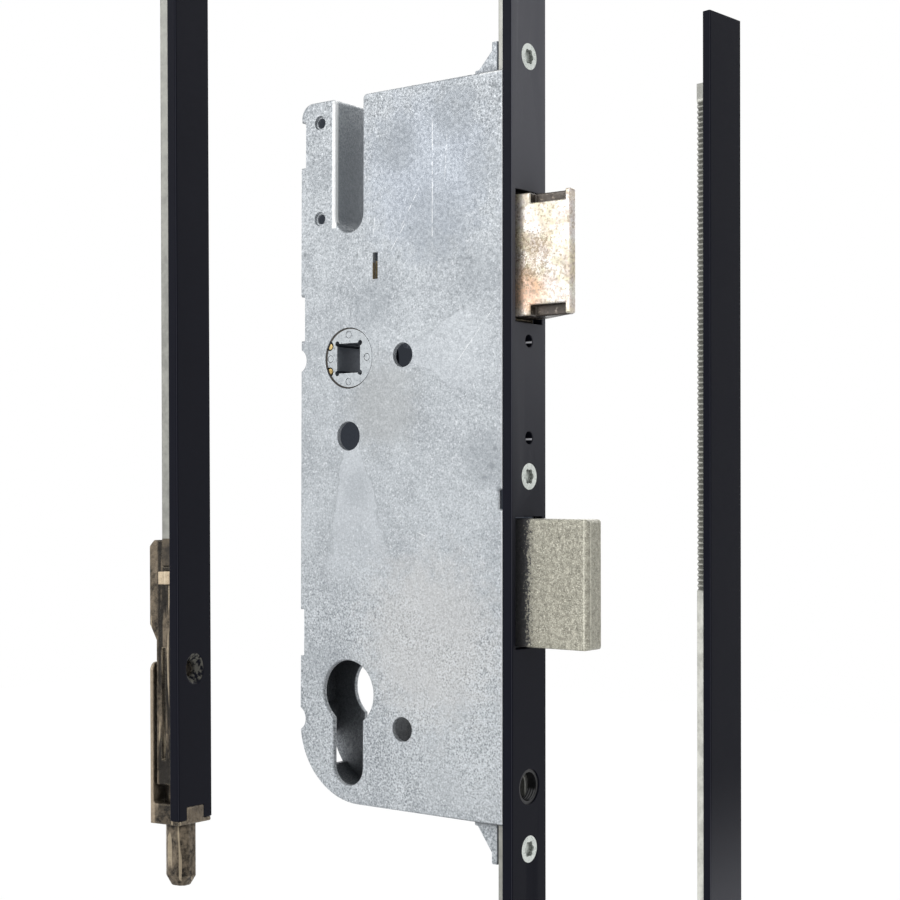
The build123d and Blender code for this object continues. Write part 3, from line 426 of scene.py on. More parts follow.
def lineMask(tree, place, start, end, width):
    # one straight scratch between two places in X and Z, broken up by noise
    v = caseMarks
    dx, dz = end[0] - start[0], end[1] - start[1]
    length = math.hypot(dx, dz)
    parts = splitOf(tree, place)
    x = minus(tree, parts[0], start[0] * mm)
    z = minus(tree, parts[2], start[1] * mm)
    along = plus(tree, product(tree, x, dx / length), product(tree, z, dz / length))
    across = minus(tree, product(tree, x, dz / length), product(tree, z, dx / length))
    fromMiddle = sizeOf(tree, minus(tree, along, length / 2 * mm))
    ends = spanOf(tree, fromMiddle, length / 2, length / 2 - v["lineFade"])
    thin = spanOf(tree, sizeOf(tree, across), width, width * v["lineCore"])
    broken = rangeOf(tree, noiseOf(tree, place, *v["brokenNoise"]), *v["broken"])
    return product(tree, thin, ends, broken)


def addCaseMarks(tree, place, base):
    v = caseMarks
    for shape, share in zip(v["fans"], v["fanShares"]):
        wedge = useGroup(tree, fan, vector=place, **shape)
        base = layer(tree, base, v["fan"], wedge["mask"], share)
        base = layer(tree, base, v["rim"], wedge["rim"], v["rimShare"])
    for x, z, reach, share, tint in v["patches"]:
        base = layer(tree, base, tint, blotOf(tree, place, x, z, reach), share)
    for x, z, reach in v["scuffs"]:
        base = layer(tree, base, v["scuff"], blotOf(tree, place, x, z, reach), v["scuffShare"])
    for x, z, reach, share in v["clouds"]:
        base = layer(tree, base, v["cloud"], blotOf(tree, place, x, z, reach), share)
    for start, end, width in v["lines"]:
        base = layer(tree, base, v["line"], lineMask(tree, place, start, end, width), v["lineShare"])
    # thin bright scratches, upright and slanting
    upright = maskOf(tree, scratches, vector=place, **v["upright"])
    base = layer(tree, base, v["scratch"], upright, v["uprightShare"])
    leaning = movedBy(tree, place, v["slantShift"], v["slantTurn"])
    slant = maskOf(tree, scratches, vector=leaning, **v["slant"])
    return layer(tree, base, v["scratch"], slant, v["slantShare"])


zincValues = {
    "metallic": 0.3, "roughness": (0.6, 0.38), "depth": 0.03, "strength": 0.6, "pits": 0.6,
    "pale": colour(0.49, 0.52, 0.545), "middle": colour(0.355, 0.38, 0.405),
    "dark": colour(0.13, 0.145, 0.16), "light": colour(0.72, 0.75, 0.78), "dot": colour(0.78, 0.80, 0.83),
    "patches": {"scale": 75.0, "sharpness": 0.16}, "grains": {"scale": 800.0, "sharpness": 0.15},
    "grainShare": 0.4,
    # sand and dots are heavier away from the middle of the case; these heights are in metres
    "middleHeight": -0.012, "coarse": (0.03, 0.085, 0.75, 1.3), "speckle": (0.015, 0.085, 0.36, 0.78),
    "sandNoise": (1900.0, 2.0), "darkSand": (0.47, 0.34, 0.0, 0.5), "paleSand": (0.54, 0.67, 0.0, 0.55),
    "darkDotScale": 1500.0, "paleDots": {"scale": 1300.0, "amount": 0.62}, "dotShare": 0.5,
    "shift": (0.31, 0.17, 0.53),
    # sandy grit in the lower part
    "driftNoise": (55.0, 3.0), "drifts": (0.4, 0.62, 0.35, 1.0), "lower": (-40.0, -85.0),
    "gritNoise": (1900.0, 3.0), "darkGrit": (0.47, 0.36, 0.0, 0.6), "paleGrit": (0.52, 0.63, 0.0, 0.6),
    "wearShare": 0.6, "hollows": {"reach": 22 * mm, "low": 0.4, "high": 0.97}, "hollowShare": 0.9,
    # painted shade colours for the hollows: on the notch's folded wall, and elsewhere inside the case
    "hollow": colour(0.18, 0.2, 0.22), "inside": colour(0.05, 0.056, 0.065),
    # the cut edges of the two sheets, across the case, and the folded wall of the notch
    "cutEdge": (6.15, 6.3), "cutShare": 0.9, "notch": ((0.0, 0.0, 60.0), (6.0, 9.0, 27.0)),
    # zones by middle, half size and softness
    "behindHole": ((8.2, 6.2, -102.7), (5.0, 0.3, 5.0), 1.0), "behind": colour(0.004, 0.004, 0.005),
    "lips": [((-5.35, -7.2, 54.3), (0.75, 0.9, 17.9), 0.25), ((48.0, -7.5, 72.4), (3.5, 1.0, 0.5), 0.25),
             ((51.7, -7.5, -24.8), (0.22, 0.2, 97.0), 0.25)],
    "lip": colour(0.97, 0.98, 0.98), "lipShare": 0.8,
    "slotEdge": ((8.4, -6.9, 23.2), (0.5, 0.52, 2.6), 0.1), "brass": colour(0.26, 0.20, 0.11),
    "brassShare": 0.9,
    # the space inside the case that gets a painted glow, by side, front and height
    "withinSide": (6.25, 6.15), "withinFront": (53.5, 50.0), "withinHeight": (-60.0, -50.0),
}


def makeZinc(name, marks=True):
    v = zincValues
    finish, tree, shader, place = newFinish(name, v["metallic"])
    x, y, z = splitOf(tree, place)
    patches = maskOf(tree, mottle, vector=place, **v["patches"])
    grains = maskOf(tree, mottle, vector=place, **v["grains"])
    base = mixOf(tree, patches, v["middle"], v["pale"])
    base = layer(tree, base, v["pale"], grains, v["grainShare"])
    far = sizeOf(tree, minus(tree, z, v["middleHeight"]))
    coarse = rangeOf(tree, far, *v["coarse"])
    sand = noiseOf(tree, place, *v["sandNoise"])
    base = layer(tree, base, v["dark"], rangeOf(tree, sand, *v["darkSand"]), coarse)
    base = layer(tree, base, v["light"], rangeOf(tree, sand, *v["paleSand"]), coarse)
    amount = rangeOf(tree, far, *v["speckle"])
    darkDots = maskOf(tree, specks, vector=place, scale=v["darkDotScale"], amount=amount)
    base = layer(tree, base, v["dark"], darkDots, v["dotShare"])
    shifted = movedBy(tree, place, v["shift"])
    paleDots = maskOf(tree, specks, vector=shifted, **v["paleDots"])
    base = layer(tree, base, v["dot"], paleDots, v["dotShare"])
    if marks:
        base = addCaseMarks(tree, place, base)
        drifts = rangeOf(tree, noiseOf(tree, shifted, *v["driftNoise"]), *v["drifts"])
        lower = product(tree, spanOf(tree, z, *v["lower"]), drifts)
        grit = noiseOf(tree, shifted, *v["gritNoise"])
        base = layer(tree, base, v["dark"], rangeOf(tree, grit, *v["darkGrit"]), lower)
        base = layer(tree, base, v["light"], rangeOf(tree, grit, *v["paleGrit"]), lower)
    base = layer(tree, base, v["light"], maskOf(tree, edgeWear, vector=place), v["wearShare"])
    # painted shade darkens the hollows, but not the cut edges of the two sheets
    across = sizeOf(tree, y)
    notch = zoneOf(tree, place, *v["notch"])
    shadeFree = product(tree, spanOf(tree, across, *v["cutEdge"]), minus(tree, v["cutShare"], notch))
    deep = product(tree, maskOf(tree, hollows, **v["hollows"]), minus(tree, 1.0, shadeFree, clamp=True))
    base = layer(tree, base, mixOf(tree, notch, v["inside"], v["hollow"]), deep, v["hollowShare"])
    # painted shade keeps the wall behind the lowest hole dark
    base = layer(tree, base, v["behind"], zoneOf(tree, place, *v["behindHole"]))
    # painted highlight on the bent lips of the notch and of the top edge
    for lip in v["lips"]:
        base = layer(tree, base, v["lip"], zoneOf(tree, place, *lip), v["lipShare"])
    # brass shows in the lower half of the view slot
    base = layer(tree, base, v["brass"], zoneOf(tree, place, *v["slotEdge"]), v["brassShare"])
    # painted glow on the walls inside the case, away from the notch
    within = product(tree, spanOf(tree, across, *v["withinSide"]), spanOf(tree, x, *v["withinFront"]),
                     spanOf(tree, z, *v["withinHeight"]))
    addGlow(tree, shader, product(tree, within, minus(tree, 1.0, notch)))
    height = minus(tree, grains, product(tree, darkDots, v["pits"]))
    joinFinish(tree, shader, base, grains, height, v)
    return finish


plateValues = {
    "specular": 0.05, "roughness": (0.33, 0.42), "grainNoise": (3200.0, 2.0), "depth": 0.012, "strength": 0.5,
    "base": colour(0.0072, 0.0078, 0.0138), "cloud": colour(0.0098, 0.0104, 0.0170),
    "worn": colour(0.05, 0.05, 0.06), "film": colour(0.138, 0.139, 0.155),
    "rubbed": colour(0.09, 0.09, 0.105), "corner": colour(0.16, 0.16, 0.19),
    "bare": colour(0.16, 0.155, 0.135), "glint": colour(0.72, 0.72, 0.74),
    "glintGlow": colour(0.16, 0.16, 0.17), "clouds": {"scale": 60.0, "sharpness": 0.25}, "cloudShare": 0.25,
    "pits": {"scale": 5200.0, "amount": 0.5}, "pitShare": 0.5,
    "drawn": {"fineness": 1500.0, "length": 12.0, "amount": 0.12}, "drawnShare": 0.25, "wearShare": 0.55,
    # painted sheen on the front face, thickest beside the upper half of the case
    "dustBelow": (-90.0, 80.0), "dustAbove": (190.0, 120.0), "dustFront": (54.6, 54.9), "dustShare": 0.95,
    # countersinks, and the painted glints in the peep holes, by height
    "holes": (-910.0, -705.0, -500.0, -295.0, 110.0), "cone": (4.35, 4.15), "coneFront": (54.96, 54.8),
    "brokenNoise": (900.0, 4.0), "broken": (0.42, 0.58), "side": (7.72, 7.86), "sideFront": (54.72, 54.86),
    "cornerShare": 0.8, "glints": (2.15, -23.1), "glintPlace": (53.7, 1.4), "glintHalf": (0.95, 0.7, 0.22),
    "glintSoft": 0.12,
}


def makePlateBlack():
    v = plateValues
    finish, tree, shader, place = newFinish("plateBlack", 0.0)
    shader.inputs["Specular IOR Level"].default_value = v["specular"]
    x, y, z = splitOf(tree, place)
    cloud = maskOf(tree, mottle, vector=place, **v["clouds"])
    base = mixOf(tree, product(tree, cloud, v["cloudShare"]), v["base"], v["cloud"])
    # painted sheen on the front face
    sheenArea = product(tree, spanOf(tree, z, *v["dustBelow"]), spanOf(tree, x, *v["dustFront"]),
                    spanOf(tree, z, *v["dustAbove"]))
    base = layer(tree, base, v["film"], sheenArea, v["dustShare"])
    base = layer(tree, base, v["worn"], maskOf(tree, scratches, vector=place, **v["drawn"]), v["drawnShare"])
    base = layer(tree, base, v["rubbed"], maskOf(tree, edgeWear, vector=place), v["wearShare"])
    for height in v["holes"]:
        away = distanceOf(tree, minus(tree, z, height * mm), y)
        cone = product(tree, spanOf(tree, away, *v["cone"]), spanOf(tree, x, *v["coneFront"]))
        broken = rangeOf(tree, noiseOf(tree, place, *v["brokenNoise"]), *v["broken"])
        base = layer(tree, base, v["bare"], cone, broken)
    # painted highlight along the corner of the side and front faces
    corner = product(tree, spanOf(tree, sizeOf(tree, y), *v["side"]), spanOf(tree, x, *v["sideFront"]))
    base = layer(tree, base, v["corner"], corner, v["cornerShare"])
    # painted glint and glow on the walls of the peep holes
    glint = 0.0
    for height in v["glints"]:
        spot = zoneOf(tree, place, (*v["glintPlace"], height), v["glintHalf"], v["glintSoft"])
        glint = mathOf(tree, "MAXIMUM", spot, glint)
    base = layer(tree, base, v["glint"], glint)
    addGlow(tree, shader, glint, v["glintGlow"])
    pits = product(tree, maskOf(tree, specks, vector=place, **v["pits"]), v["pitShare"])
    height = minus(tree, noiseOf(tree, place, *v["grainNoise"]), pits)
    joinFinish(tree, shader, base, cloud, height, v)
    return finish


latchValues = {
    "metallic": 0.45, "roughness": (0.26, 0.46), "depth": 0.09, "strength": 0.7, "pits": 0.3,
    "pale": colour(0.761, 0.744, 0.658), "cream": colour(0.688, 0.632, 0.446),
    "brown": colour(0.223, 0.158, 0.093), "pink": colour(0.744, 0.521, 0.502),
    "violet": colour(0.446, 0.409, 0.577), "orange": colour(0.744, 0.372, 0.186),
    "grain": colour(0.335, 0.270, 0.205), "grease": colour(0.042, 0.033, 0.028),
    "edge": colour(0.95, 0.93, 0.84), "coarseNoise": (900.0, 4.0),
    "patches": {"scale": 160.0, "sharpness": 0.14}, "rosy": {"scale": 230.0, "sharpness": 0.08},
    "rosyShift": (0.2, 0.4, 0.1), "rosyShare": 0.26, "bluish": {"scale": 300.0, "sharpness": 0.07},
    "bluishShift": (0.7, 0.1, 0.35), "bluishShare": 0.24, "heat": (57.6, 14.5, 8.5), "heatShare": 0.55,
    "dirt": (58.0, 23.5, 13.0), "dirtGain": 0.6, "leastDirt": 0.42, "dotScale": 1500.0, "dotShare": 0.75,
    "sandNoise": (1500.0, 3.0), "sand": (0.50, 0.33, 0.0, 0.75), "coarse": (0.47, 0.33, 0.0, 0.5),
    "wearShare": 0.6,
    # painted shade in the two corner pockets, by height from the latch's middle, depth and front
    "middle": 24.15, "ends": (12.75, 13.05), "pocketSide": (-4.85, -4.55), "pocketFront": (69.5, 69.0),
    "pocketGrain": (0.30, 0.42, 0.55, 1.0), "greaseShare": 0.95,
}


def makeLatchMetal():
    v = latchValues
    finish, tree, shader, place = newFinish("latchMetal", v["metallic"])
    x, y, z = splitOf(tree, place)
    coarse = noiseOf(tree, place, *v["coarseNoise"])
    patches = maskOf(tree, mottle, vector=place, **v["patches"])
    base = mixOf(tree, patches, v["pale"], v["cream"])
    rosy = maskOf(tree, mottle, vector=movedBy(tree, place, v["rosyShift"]), **v["rosy"])
    base = layer(tree, base, v["pink"], rosy, v["rosyShare"])
    bluish = maskOf(tree, mottle, vector=movedBy(tree, place, v["bluishShift"]), **v["bluish"])
    base = layer(tree, base, v["violet"], bluish, v["bluishShare"])
    base = layer(tree, base, v["orange"], blotOf(tree, place, *v["heat"]), v["heatShare"])
    dirt = product(tree, blotOf(tree, place, *v["dirt"]), v["dirtGain"])
    dots = maskOf(tree, specks, vector=place, scale=v["dotScale"], amount=plus(tree, dirt, v["leastDirt"]))
    base = layer(tree, base, v["brown"], dots, v["dotShare"])
    base = layer(tree, base, v["grain"], rangeOf(tree, noiseOf(tree, place, *v["sandNoise"]), *v["sand"]))
    base = layer(tree, base, v["grain"], rangeOf(tree, coarse, *v["coarse"]))
    base = layer(tree, base, v["edge"], maskOf(tree, edgeWear, vector=place), v["wearShare"])
    # painted shade in the two corner pockets
    ends = sizeOf(tree, minus(tree, z, v["middle"] * mm))
    pocket = product(tree, spanOf(tree, ends, *v["ends"]), spanOf(tree, y, *v["pocketSide"]),
                     spanOf(tree, x, *v["pocketFront"]), rangeOf(tree, coarse, *v["pocketGrain"]))
    base = layer(tree, base, v["grease"], pocket, v["greaseShare"])
    height = minus(tree, coarse, product(tree, dots, v["pits"]))
    joinFinish(tree, shader, base, patches, height, v)
    return finish


boltValues = {
    "metallic": 0.4, "roughness": (0.55, 0.36), "depth": 0.11, "strength": 0.85, "pits": 0.4,
    "pale": colour(0.50, 0.48, 0.395), "middle": colour(0.24, 0.23, 0.185),
    "dark": colour(0.07, 0.066, 0.055), "patch": colour(0.42, 0.41, 0.34),
    "bright": colour(0.80, 0.78, 0.66), "grease": colour(0.03, 0.031, 0.042),
    "edge": colour(0.86, 0.83, 0.74), "pebbles": {"scale": 1050.0, "sharpness": 0.2},
    "patches": {"scale": 150.0, "sharpness": 0.2}, "patchShare": 0.3, "shift": (0.2, 0.4, 0.3),
    "glints": {"scale": 2800.0, "amount": 0.7}, "glintShare": 0.7, "dots": {"scale": 3600.0, "amount": 0.72},
    "dotShare": 0.4,
    # darker next to the faceplate, with a ragged front edge
    "raggedNoise": (1500.0, 5.0, 0.7), "greaseFront": 51.6, "greaseRagged": 11.0,
    "greaseEdge": (-0.7, 0.5, 1.0, 0.0), "greaseShare": 0.9,
    # x, y and half width of the two rubbed upright edges
    "rubbed": [(73.75, -3.45, 0.22), (74.95, -2.2, 0.2)], "rubbedMiddle": -60.15, "rubbedHalf": 17.0,
    "rubbedSoft": 0.15, "rubbedBroken": (0.36, 0.56, 0.15, 0.8), "wearShare": 0.6,
}


def makeBoltMetal():
    v = boltValues
    finish, tree, shader, place = newFinish("boltMetal", v["metallic"])
    pebbles = maskOf(tree, mottle, vector=place, **v["pebbles"])
    base = mixOf(tree, pebbles, v["middle"], v["pale"])
    base = layer(tree, base, v["patch"], maskOf(tree, mottle, vector=place, **v["patches"]), v["patchShare"])
    glints = maskOf(tree, specks, vector=movedBy(tree, place, v["shift"]), **v["glints"])
    base = layer(tree, base, v["bright"], glints, v["glintShare"])
    dots = maskOf(tree, specks, vector=place, **v["dots"])
    base = layer(tree, base, v["dark"], dots, v["dotShare"])
    ragged = noiseOf(tree, place, *v["raggedNoise"])
    reach = plus(tree, v["greaseFront"] * mm, product(tree, ragged, v["greaseRagged"] * mm))
    darkened = spanOf(tree, minus(tree, splitOf(tree, place)[0], reach), *v["greaseEdge"])
    base = layer(tree, base, v["grease"], darkened, v["greaseShare"])
    base = layer(tree, base, v["edge"], maskOf(tree, edgeWear, vector=place), v["wearShare"])
    for x, y, half in v["rubbed"]:
        edge = zoneOf(tree, place, (x, y, v["rubbedMiddle"]), (half, half, v["rubbedHalf"]), v["rubbedSoft"])
        base = layer(tree, base, v["bright"], edge, rangeOf(tree, ragged, *v["rubbedBroken"]))
    height = minus(tree, pebbles, product(tree, dots, v["pits"]))
    joinFinish(tree, shader, base, pebbles, height, v)
    return finish


bronzeValues = {
    "metallic": 0.4, "specular": 0.2, "roughness": (0.5, 0.33), "depth": 0.09, "strength": 0.8, "swell": 1.5,
    "dark": colour(0.012, 0.010, 0.008), "brown": colour(0.17, 0.135, 0.095),
    "worn": colour(0.46, 0.38, 0.27), "grain": colour(0.30, 0.24, 0.17), "pale": colour(0.42, 0.34, 0.25),
    "edge": colour(0.66, 0.56, 0.41), "patches": {"scale": 190.0, "sharpness": 0.12},
    "grains": {"scale": 900.0, "sharpness": 0.1}, "grainShare": 0.3,
    # the guide's rear wall is rubbed pale, the bolt body's side is sooty
    "rearFront": (46.2, 45.6), "rearHeight": (-907.0, -909.0), "rearShare": 0.7,
    "sootFront": (46.6, 47.4), "sootHeight": (-950.0, -944.0), "soot": (0.42, 0.52), "sootShare": 0.95,
    "streaks": (420.0, 420.0, 45.0), "sootNoise": (1.0, 4.0),
    "rubbed": {"fineness": 700.0, "length": 60.0, "amount": 0.55}, "rubbedShare": 0.75,
    "hollows": {"reach": 2.5 * mm, "low": 0.45, "high": 0.95}, "hollowShare": 0.8,
    "wear": {"reach": 0.8 * mm, "low": 0.01, "high": 0.13}, "wearShare": 0.85,
    # the latch's tail is lit a little inside the case
    "caseFront": (32.0, 30.0), "caseHeight": (-200.0, -190.0),
    "glow": (colour(0.05, 0.04, 0.022), colour(0.17, 0.135, 0.075)),
}


def makeBronze():
    v = bronzeValues
    finish, tree, shader, place = newFinish("agedBronze", v["metallic"])
    shader.inputs["Specular IOR Level"].default_value = v["specular"]
    x, y, z = splitOf(tree, place)
    patches = maskOf(tree, mottle, vector=place, **v["patches"])
    grains = maskOf(tree, mottle, vector=place, **v["grains"])
    base = mixOf(tree, patches, v["dark"], v["brown"])
    base = layer(tree, base, v["grain"], grains, v["grainShare"])
    rear = product(tree, spanOf(tree, x, *v["rearFront"]), spanOf(tree, z, *v["rearHeight"]))
    base = layer(tree, base, v["pale"], rear, v["rearShare"])
    streaks = addNode(tree, "ShaderNodeMapping", {"Vector": place, "Scale": v["streaks"]})[0]
    soot = rangeOf(tree, noiseOf(tree, streaks, *v["sootNoise"]), *v["soot"])
    sooty = product(tree, spanOf(tree, x, *v["sootFront"]), spanOf(tree, z, *v["sootHeight"]), soot)
    base = layer(tree, base, v["dark"], sooty, v["sootShare"])
    base = layer(tree, base, v["worn"], maskOf(tree, scratches, vector=place, **v["rubbed"]),
                 v["rubbedShare"])
    # painted shade in the hollows
    base = layer(tree, base, v["dark"], maskOf(tree, hollows, **v["hollows"]), v["hollowShare"])
    base = layer(tree, base, v["edge"], maskOf(tree, edgeWear, vector=place, **v["wear"]), v["wearShare"])
    inCase = product(tree, spanOf(tree, x, *v["caseFront"]), spanOf(tree, z, *v["caseHeight"]))
    addGlow(tree, shader, inCase, mixOf(tree, patches, *v["glow"]))
    height = plus(tree, grains, product(tree, patches, v["swell"]))
    joinFinish(tree, shader, base, patches, height, v)
    return finish


# what only one of the plain metals has
railValues = {"lowEnd": (-875.2, -875.5),
              "lowColours": (colour(0.03, 0.024, 0.018), colour(0.12, 0.095, 0.065))}
threadValues = {"turns": 420.0, "lit": ((54.0, 2.6, -115.3), (2.2, 1.5, 1.2)),
                "glint": colour(0.30, 0.30, 0.31)}
ringValues = {"shift": 0.45, "hub": 8.0, "pin": 8.1, "inner": -0.06, "outer": 0.08,
              "dirt": colour(0.022, 0.017, 0.012)}
toothValues = {"lines": 418.9, "low": (236.5, 237.5), "high": (375.4, 375.0), "lineShare": 0.75,
               "tip": (375.3, 375.8), "tipShare": 0.8, "line": colour(0.10, 0.10, 0.085),
               "tipColour": colour(0.27, 0.27, 0.25)}
litValues = {"hubSide": (-6.4, -6.2), "hubRim": (8.3, 8.6), "innerHeight": (-60.0, -50.0)}


def addLowEnd(tree, shader, place, base, patches):
    # the lower rail ends in bronze
    lowEnd = spanOf(tree, splitOf(tree, place)[2], *railValues["lowEnd"])
    return layer(tree, base, mixOf(tree, patches, *railValues["lowColours"]), lowEnd)


def addThreadGlint(tree, shader, place, base, patches):
    v = threadValues
    # painted glint on the eyelet's thread
    return layer(tree, base, v["glint"], zoneOf(tree, place, *v["lit"]),
                 wavesOf(tree, place, v["turns"], "X"))


def addHubRing(tree, place, base, radius):
    # painted shade in the gap round the hub, widest on its rear side
    v = ringValues
    x, y, z = splitOf(tree, place)
    away = distanceOf(tree, minus(tree, x, v["shift"] * mm), z)
    return layer(tree, base, v["dirt"], spanOf(tree, away, radius + v["inner"], radius + v["outer"]))


def addHub(tree, shader, place, base, patches):
    x, y, z = splitOf(tree, place)
    # painted glow on the hub's rim inside the case
    rim = spanOf(tree, distanceOf(tree, x, z), *litValues["hubRim"])
    addGlow(tree, shader, product(tree, spanOf(tree, y, *litValues["hubSide"]), rim))
    return addHubRing(tree, place, base, ringValues["hub"])


def addPinRing(tree, shader, place, base, patches):
    return addHubRing(tree, place, base, ringValues["pin"])


def addInsideGlow(tree, shader, place, base, patches):
    # painted glow on the inner parts, stronger above a height
    addGlow(tree, shader, spanOf(tree, splitOf(tree, place)[2], *litValues["innerHeight"]))
    return base


def addTeeth(tree, shader, place, base, patches):
    # painted shade as fine lines between the teeth, and a darker tip
    v = toothValues
    z = splitOf(tree, place)[2]
    lines = product(tree, wavesOf(tree, place, v["lines"], "Z"), spanOf(tree, z, *v["low"]),
                    spanOf(tree, z, *v["high"]))
    base = layer(tree, base, v["line"], lines, v["lineShare"])
    return layer(tree, base, v["tipColour"], spanOf(tree, z, *v["tip"]), v["tipShare"])


# plain metals; what one doesn't say comes from the first
metalValues = {
    "railZinc": {"first": colour(0.25, 0.25, 0.23), "second": colour(0.33, 0.33, 0.30),
                 "mark": colour(0.48, 0.48, 0.46), "dark": colour(0.22, 0.22, 0.21),
                 "metallic": 0.5, "scale": 240.0, "scratches": 0.45, "dots": 0.35, "hollow": 3.0,
                 "high": 0.85, "roughness": (0.31, 0.45), "detail": addLowEnd},
    "toothZinc": {"first": colour(0.55, 0.55, 0.50), "second": colour(0.72, 0.72, 0.66),
                  "dark": colour(0.07, 0.07, 0.065), "hollow": 1.5, "high": 0.97, "detail": addTeeth},
    "screwZinc": {"first": colour(0.72, 0.77, 0.72), "second": colour(0.86, 0.90, 0.85),
                  "mark": colour(0.88, 0.91, 0.87), "dark": colour(0.06, 0.065, 0.06),
                  "metallic": 0.25, "scale": 700.0, "scratches": 0.2, "dots": 0.5,
                  "roughness": (0.25, 0.39), "detail": None},
    "keyBrass": {"first": colour(0.46, 0.36, 0.24), "second": colour(0.66, 0.54, 0.38),
                 "mark": colour(0.80, 0.70, 0.54), "dark": colour(0.20, 0.14, 0.08),
                 "metallic": 0.4, "scale": 700.0, "scratches": 0.3, "dots": 0.5, "hollow": 1.0,
                 "roughness": (0.35, 0.49), "detail": None},
    "followerMetal": {"first": colour(0.36, 0.385, 0.405), "second": colour(0.50, 0.53, 0.55),
                      "mark": colour(0.76, 0.79, 0.81), "dark": colour(0.05, 0.062, 0.085),
                      "metallic": 0.35, "scale": 900.0, "scratches": 0.15, "dots": 0.6, "hollow": 16.0,
                      "roughness": (0.33, 0.47), "detail": addHub},
    "agedBrass": {"first": colour(0.30, 0.21, 0.08), "second": colour(0.50, 0.38, 0.17),
                  "mark": colour(0.80, 0.66, 0.38), "dark": colour(0.12, 0.08, 0.03),
                  "metallic": 0.8, "scale": 500.0, "scratches": 0.3, "dots": 0.4,
                  "roughness": (0.28, 0.42), "detail": addPinRing},
    "innerSteel": {"first": colour(0.16, 0.17, 0.19), "second": colour(0.26, 0.27, 0.29),
                   "mark": colour(0.48, 0.49, 0.5), "dark": colour(0.085, 0.092, 0.108),
                   "metallic": 0.4, "scale": 300.0, "scratches": 0.3, "dots": 0.4, "hollow": 8.0,
                   "roughness": (0.35, 0.49), "detail": addInsideGlow},
    # the eyelet is painted near black for the shade in its hole, with a painted glint on its thread
    "darkSteel": {"first": colour(0.010, 0.010, 0.011), "second": colour(0.02, 0.02, 0.023),
                  "mark": colour(0.03, 0.03, 0.034), "dark": colour(0.004, 0.004, 0.005),
                  "metallic": 0.0, "scale": 500.0, "scratches": 0.15, "dots": 0.3, "hollow": 12.0,
                  "roughness": (0.43, 0.57), "detail": addThreadGlint},
}
metalShares = {"drawn": 0.4, "dots": 0.5, "wear": 0.5, "hollows": 0.9, "bump": 0.5}
metalSurface = {"sharpness": 0.15, "fineness": 1100.0, "length": 25.0, "dotScale": 1500.0, "low": 0.3,
                "depth": 0.02, "strength": 0.5}


def makePlainMetal(name):
    v = {**metalValues["railZinc"], **metalValues[name]}
    s, share = metalSurface, metalShares
    finish, tree, shader, place = newFinish(name, v["metallic"])
    patches = maskOf(tree, mottle, vector=place, scale=v["scale"], sharpness=s["sharpness"])
    drawn = maskOf(tree, scratches, vector=place, fineness=s["fineness"], length=s["length"],
                   amount=v["scratches"])
    dots = maskOf(tree, specks, vector=place, scale=s["dotScale"], amount=v["dots"])
    deep = maskOf(tree, hollows, reach=v["hollow"] * mm, low=s["low"], high=v["high"])
    base = mixOf(tree, patches, v["first"], v["second"])
    base = layer(tree, base, v["mark"], drawn, share["drawn"])
    base = layer(tree, base, v["dark"], dots, share["dots"])
    base = layer(tree, base, v["mark"], maskOf(tree, edgeWear, vector=place), share["wear"])
    # painted shade in the hollows
    base = layer(tree, base, v["dark"], deep, share["hollows"])
    if v["detail"]:
        base = v["detail"](tree, shader, place, base, patches)
    height = plus(tree, patches, product(tree, drawn, share["bump"]))
    joinFinish(tree, shader, base, patches, height, {**s, "roughness": v["roughness"]})
    return finish


finishes = {
    "zincSheet": makeZinc("zincSheet"), "zincPlain": makeZinc("zincPlain", marks=False),
    "plateBlack": makePlateBlack(), "latchMetal": makeLatchMetal(), "boltMetal": makeBoltMetal(),
    "agedBronze": makeBronze(),
    **{name: makePlainMetal(name) for name in metalValues},
}
print("finishes made")

finishNodes = {
    "zincSheet": ["case_tray", "case_cover"],
    "zincPlain": ["case_rivets", "upper_lug", "lower_lug", "latch_spring_stop", "return_spring_seat"],
    "plateBlack": ["faceplate"],
    "latchMetal": ["latch_bolt"],
    "boltMetal": ["deadbolt"],
    "agedBronze": ["latch_guide", "shootbolt_guide", "shootbolt", "latch_tail"],
    "railZinc": ["upper_rod", "lower_rod", "lower_rail"],
    "toothZinc": ["toothed_rail"],
    "screwZinc": ["faceplate_screws"],
    "keyBrass": ["shootbolt_key"],
    "followerMetal": ["follower"],
    "agedBrass": ["follower_brass_pins"],
    "innerSteel": ["wheel_posts", "middle_fixing_block", "deadbolt_guide", "rail_keepers", "latch_spring",
                   "return_spring", "idler_wheel", "reversing_pinion", "upper_slide", "lower_slide",
                   "deadbolt_tail", "transfer_gear", "deadbolt_tumbler", "return_plunger"],
    "darkSteel": ["cylinder_screw_eyelet"],
}
finishOf = {node: finishes[name] for name, held in finishNodes.items() for node in held}
for node, finish in finishOf.items():
    setFinish(nodes[node], finish)


# pieces with softened edges, made from merged copies of the CAD nodes: name, width of the edge and steps
softPieces = {
    "faceplate": ("frontPlate", 0.22, 2), "case_cover": ("farWall", 0.25, 2),
    "upper_lug": ("upperLug", 0.35, 3), "lower_lug": ("lowerLug", 0.35, 3),
    "latch_bolt": ("latchHead", 0.45, 3), "deadbolt": ("boltHead", 0.3, 3),
    "follower": ("spindleHub", 0.12, 2), "faceplate_screws": ("plateScrews", 0.1, 2),
    "shootbolt": ("bottomBolt", 0.45, 3), "shootbolt_guide": ("boltFoot", 0.4, 3),
    "upper_rod": ("upperRod", 0.25, 2), "lower_rod": ("lowerRod", 0.25, 2),
    "lower_rail": ("lowerRail", 0.25, 2), "case_rivets": ("tubeRivets", 0.12, 2),
}
mergeValues = {"distance": 0.002, "flatAngle": 0.4}
edgeValues = {"smoothAngle": 30, "sharpAngle": 35}


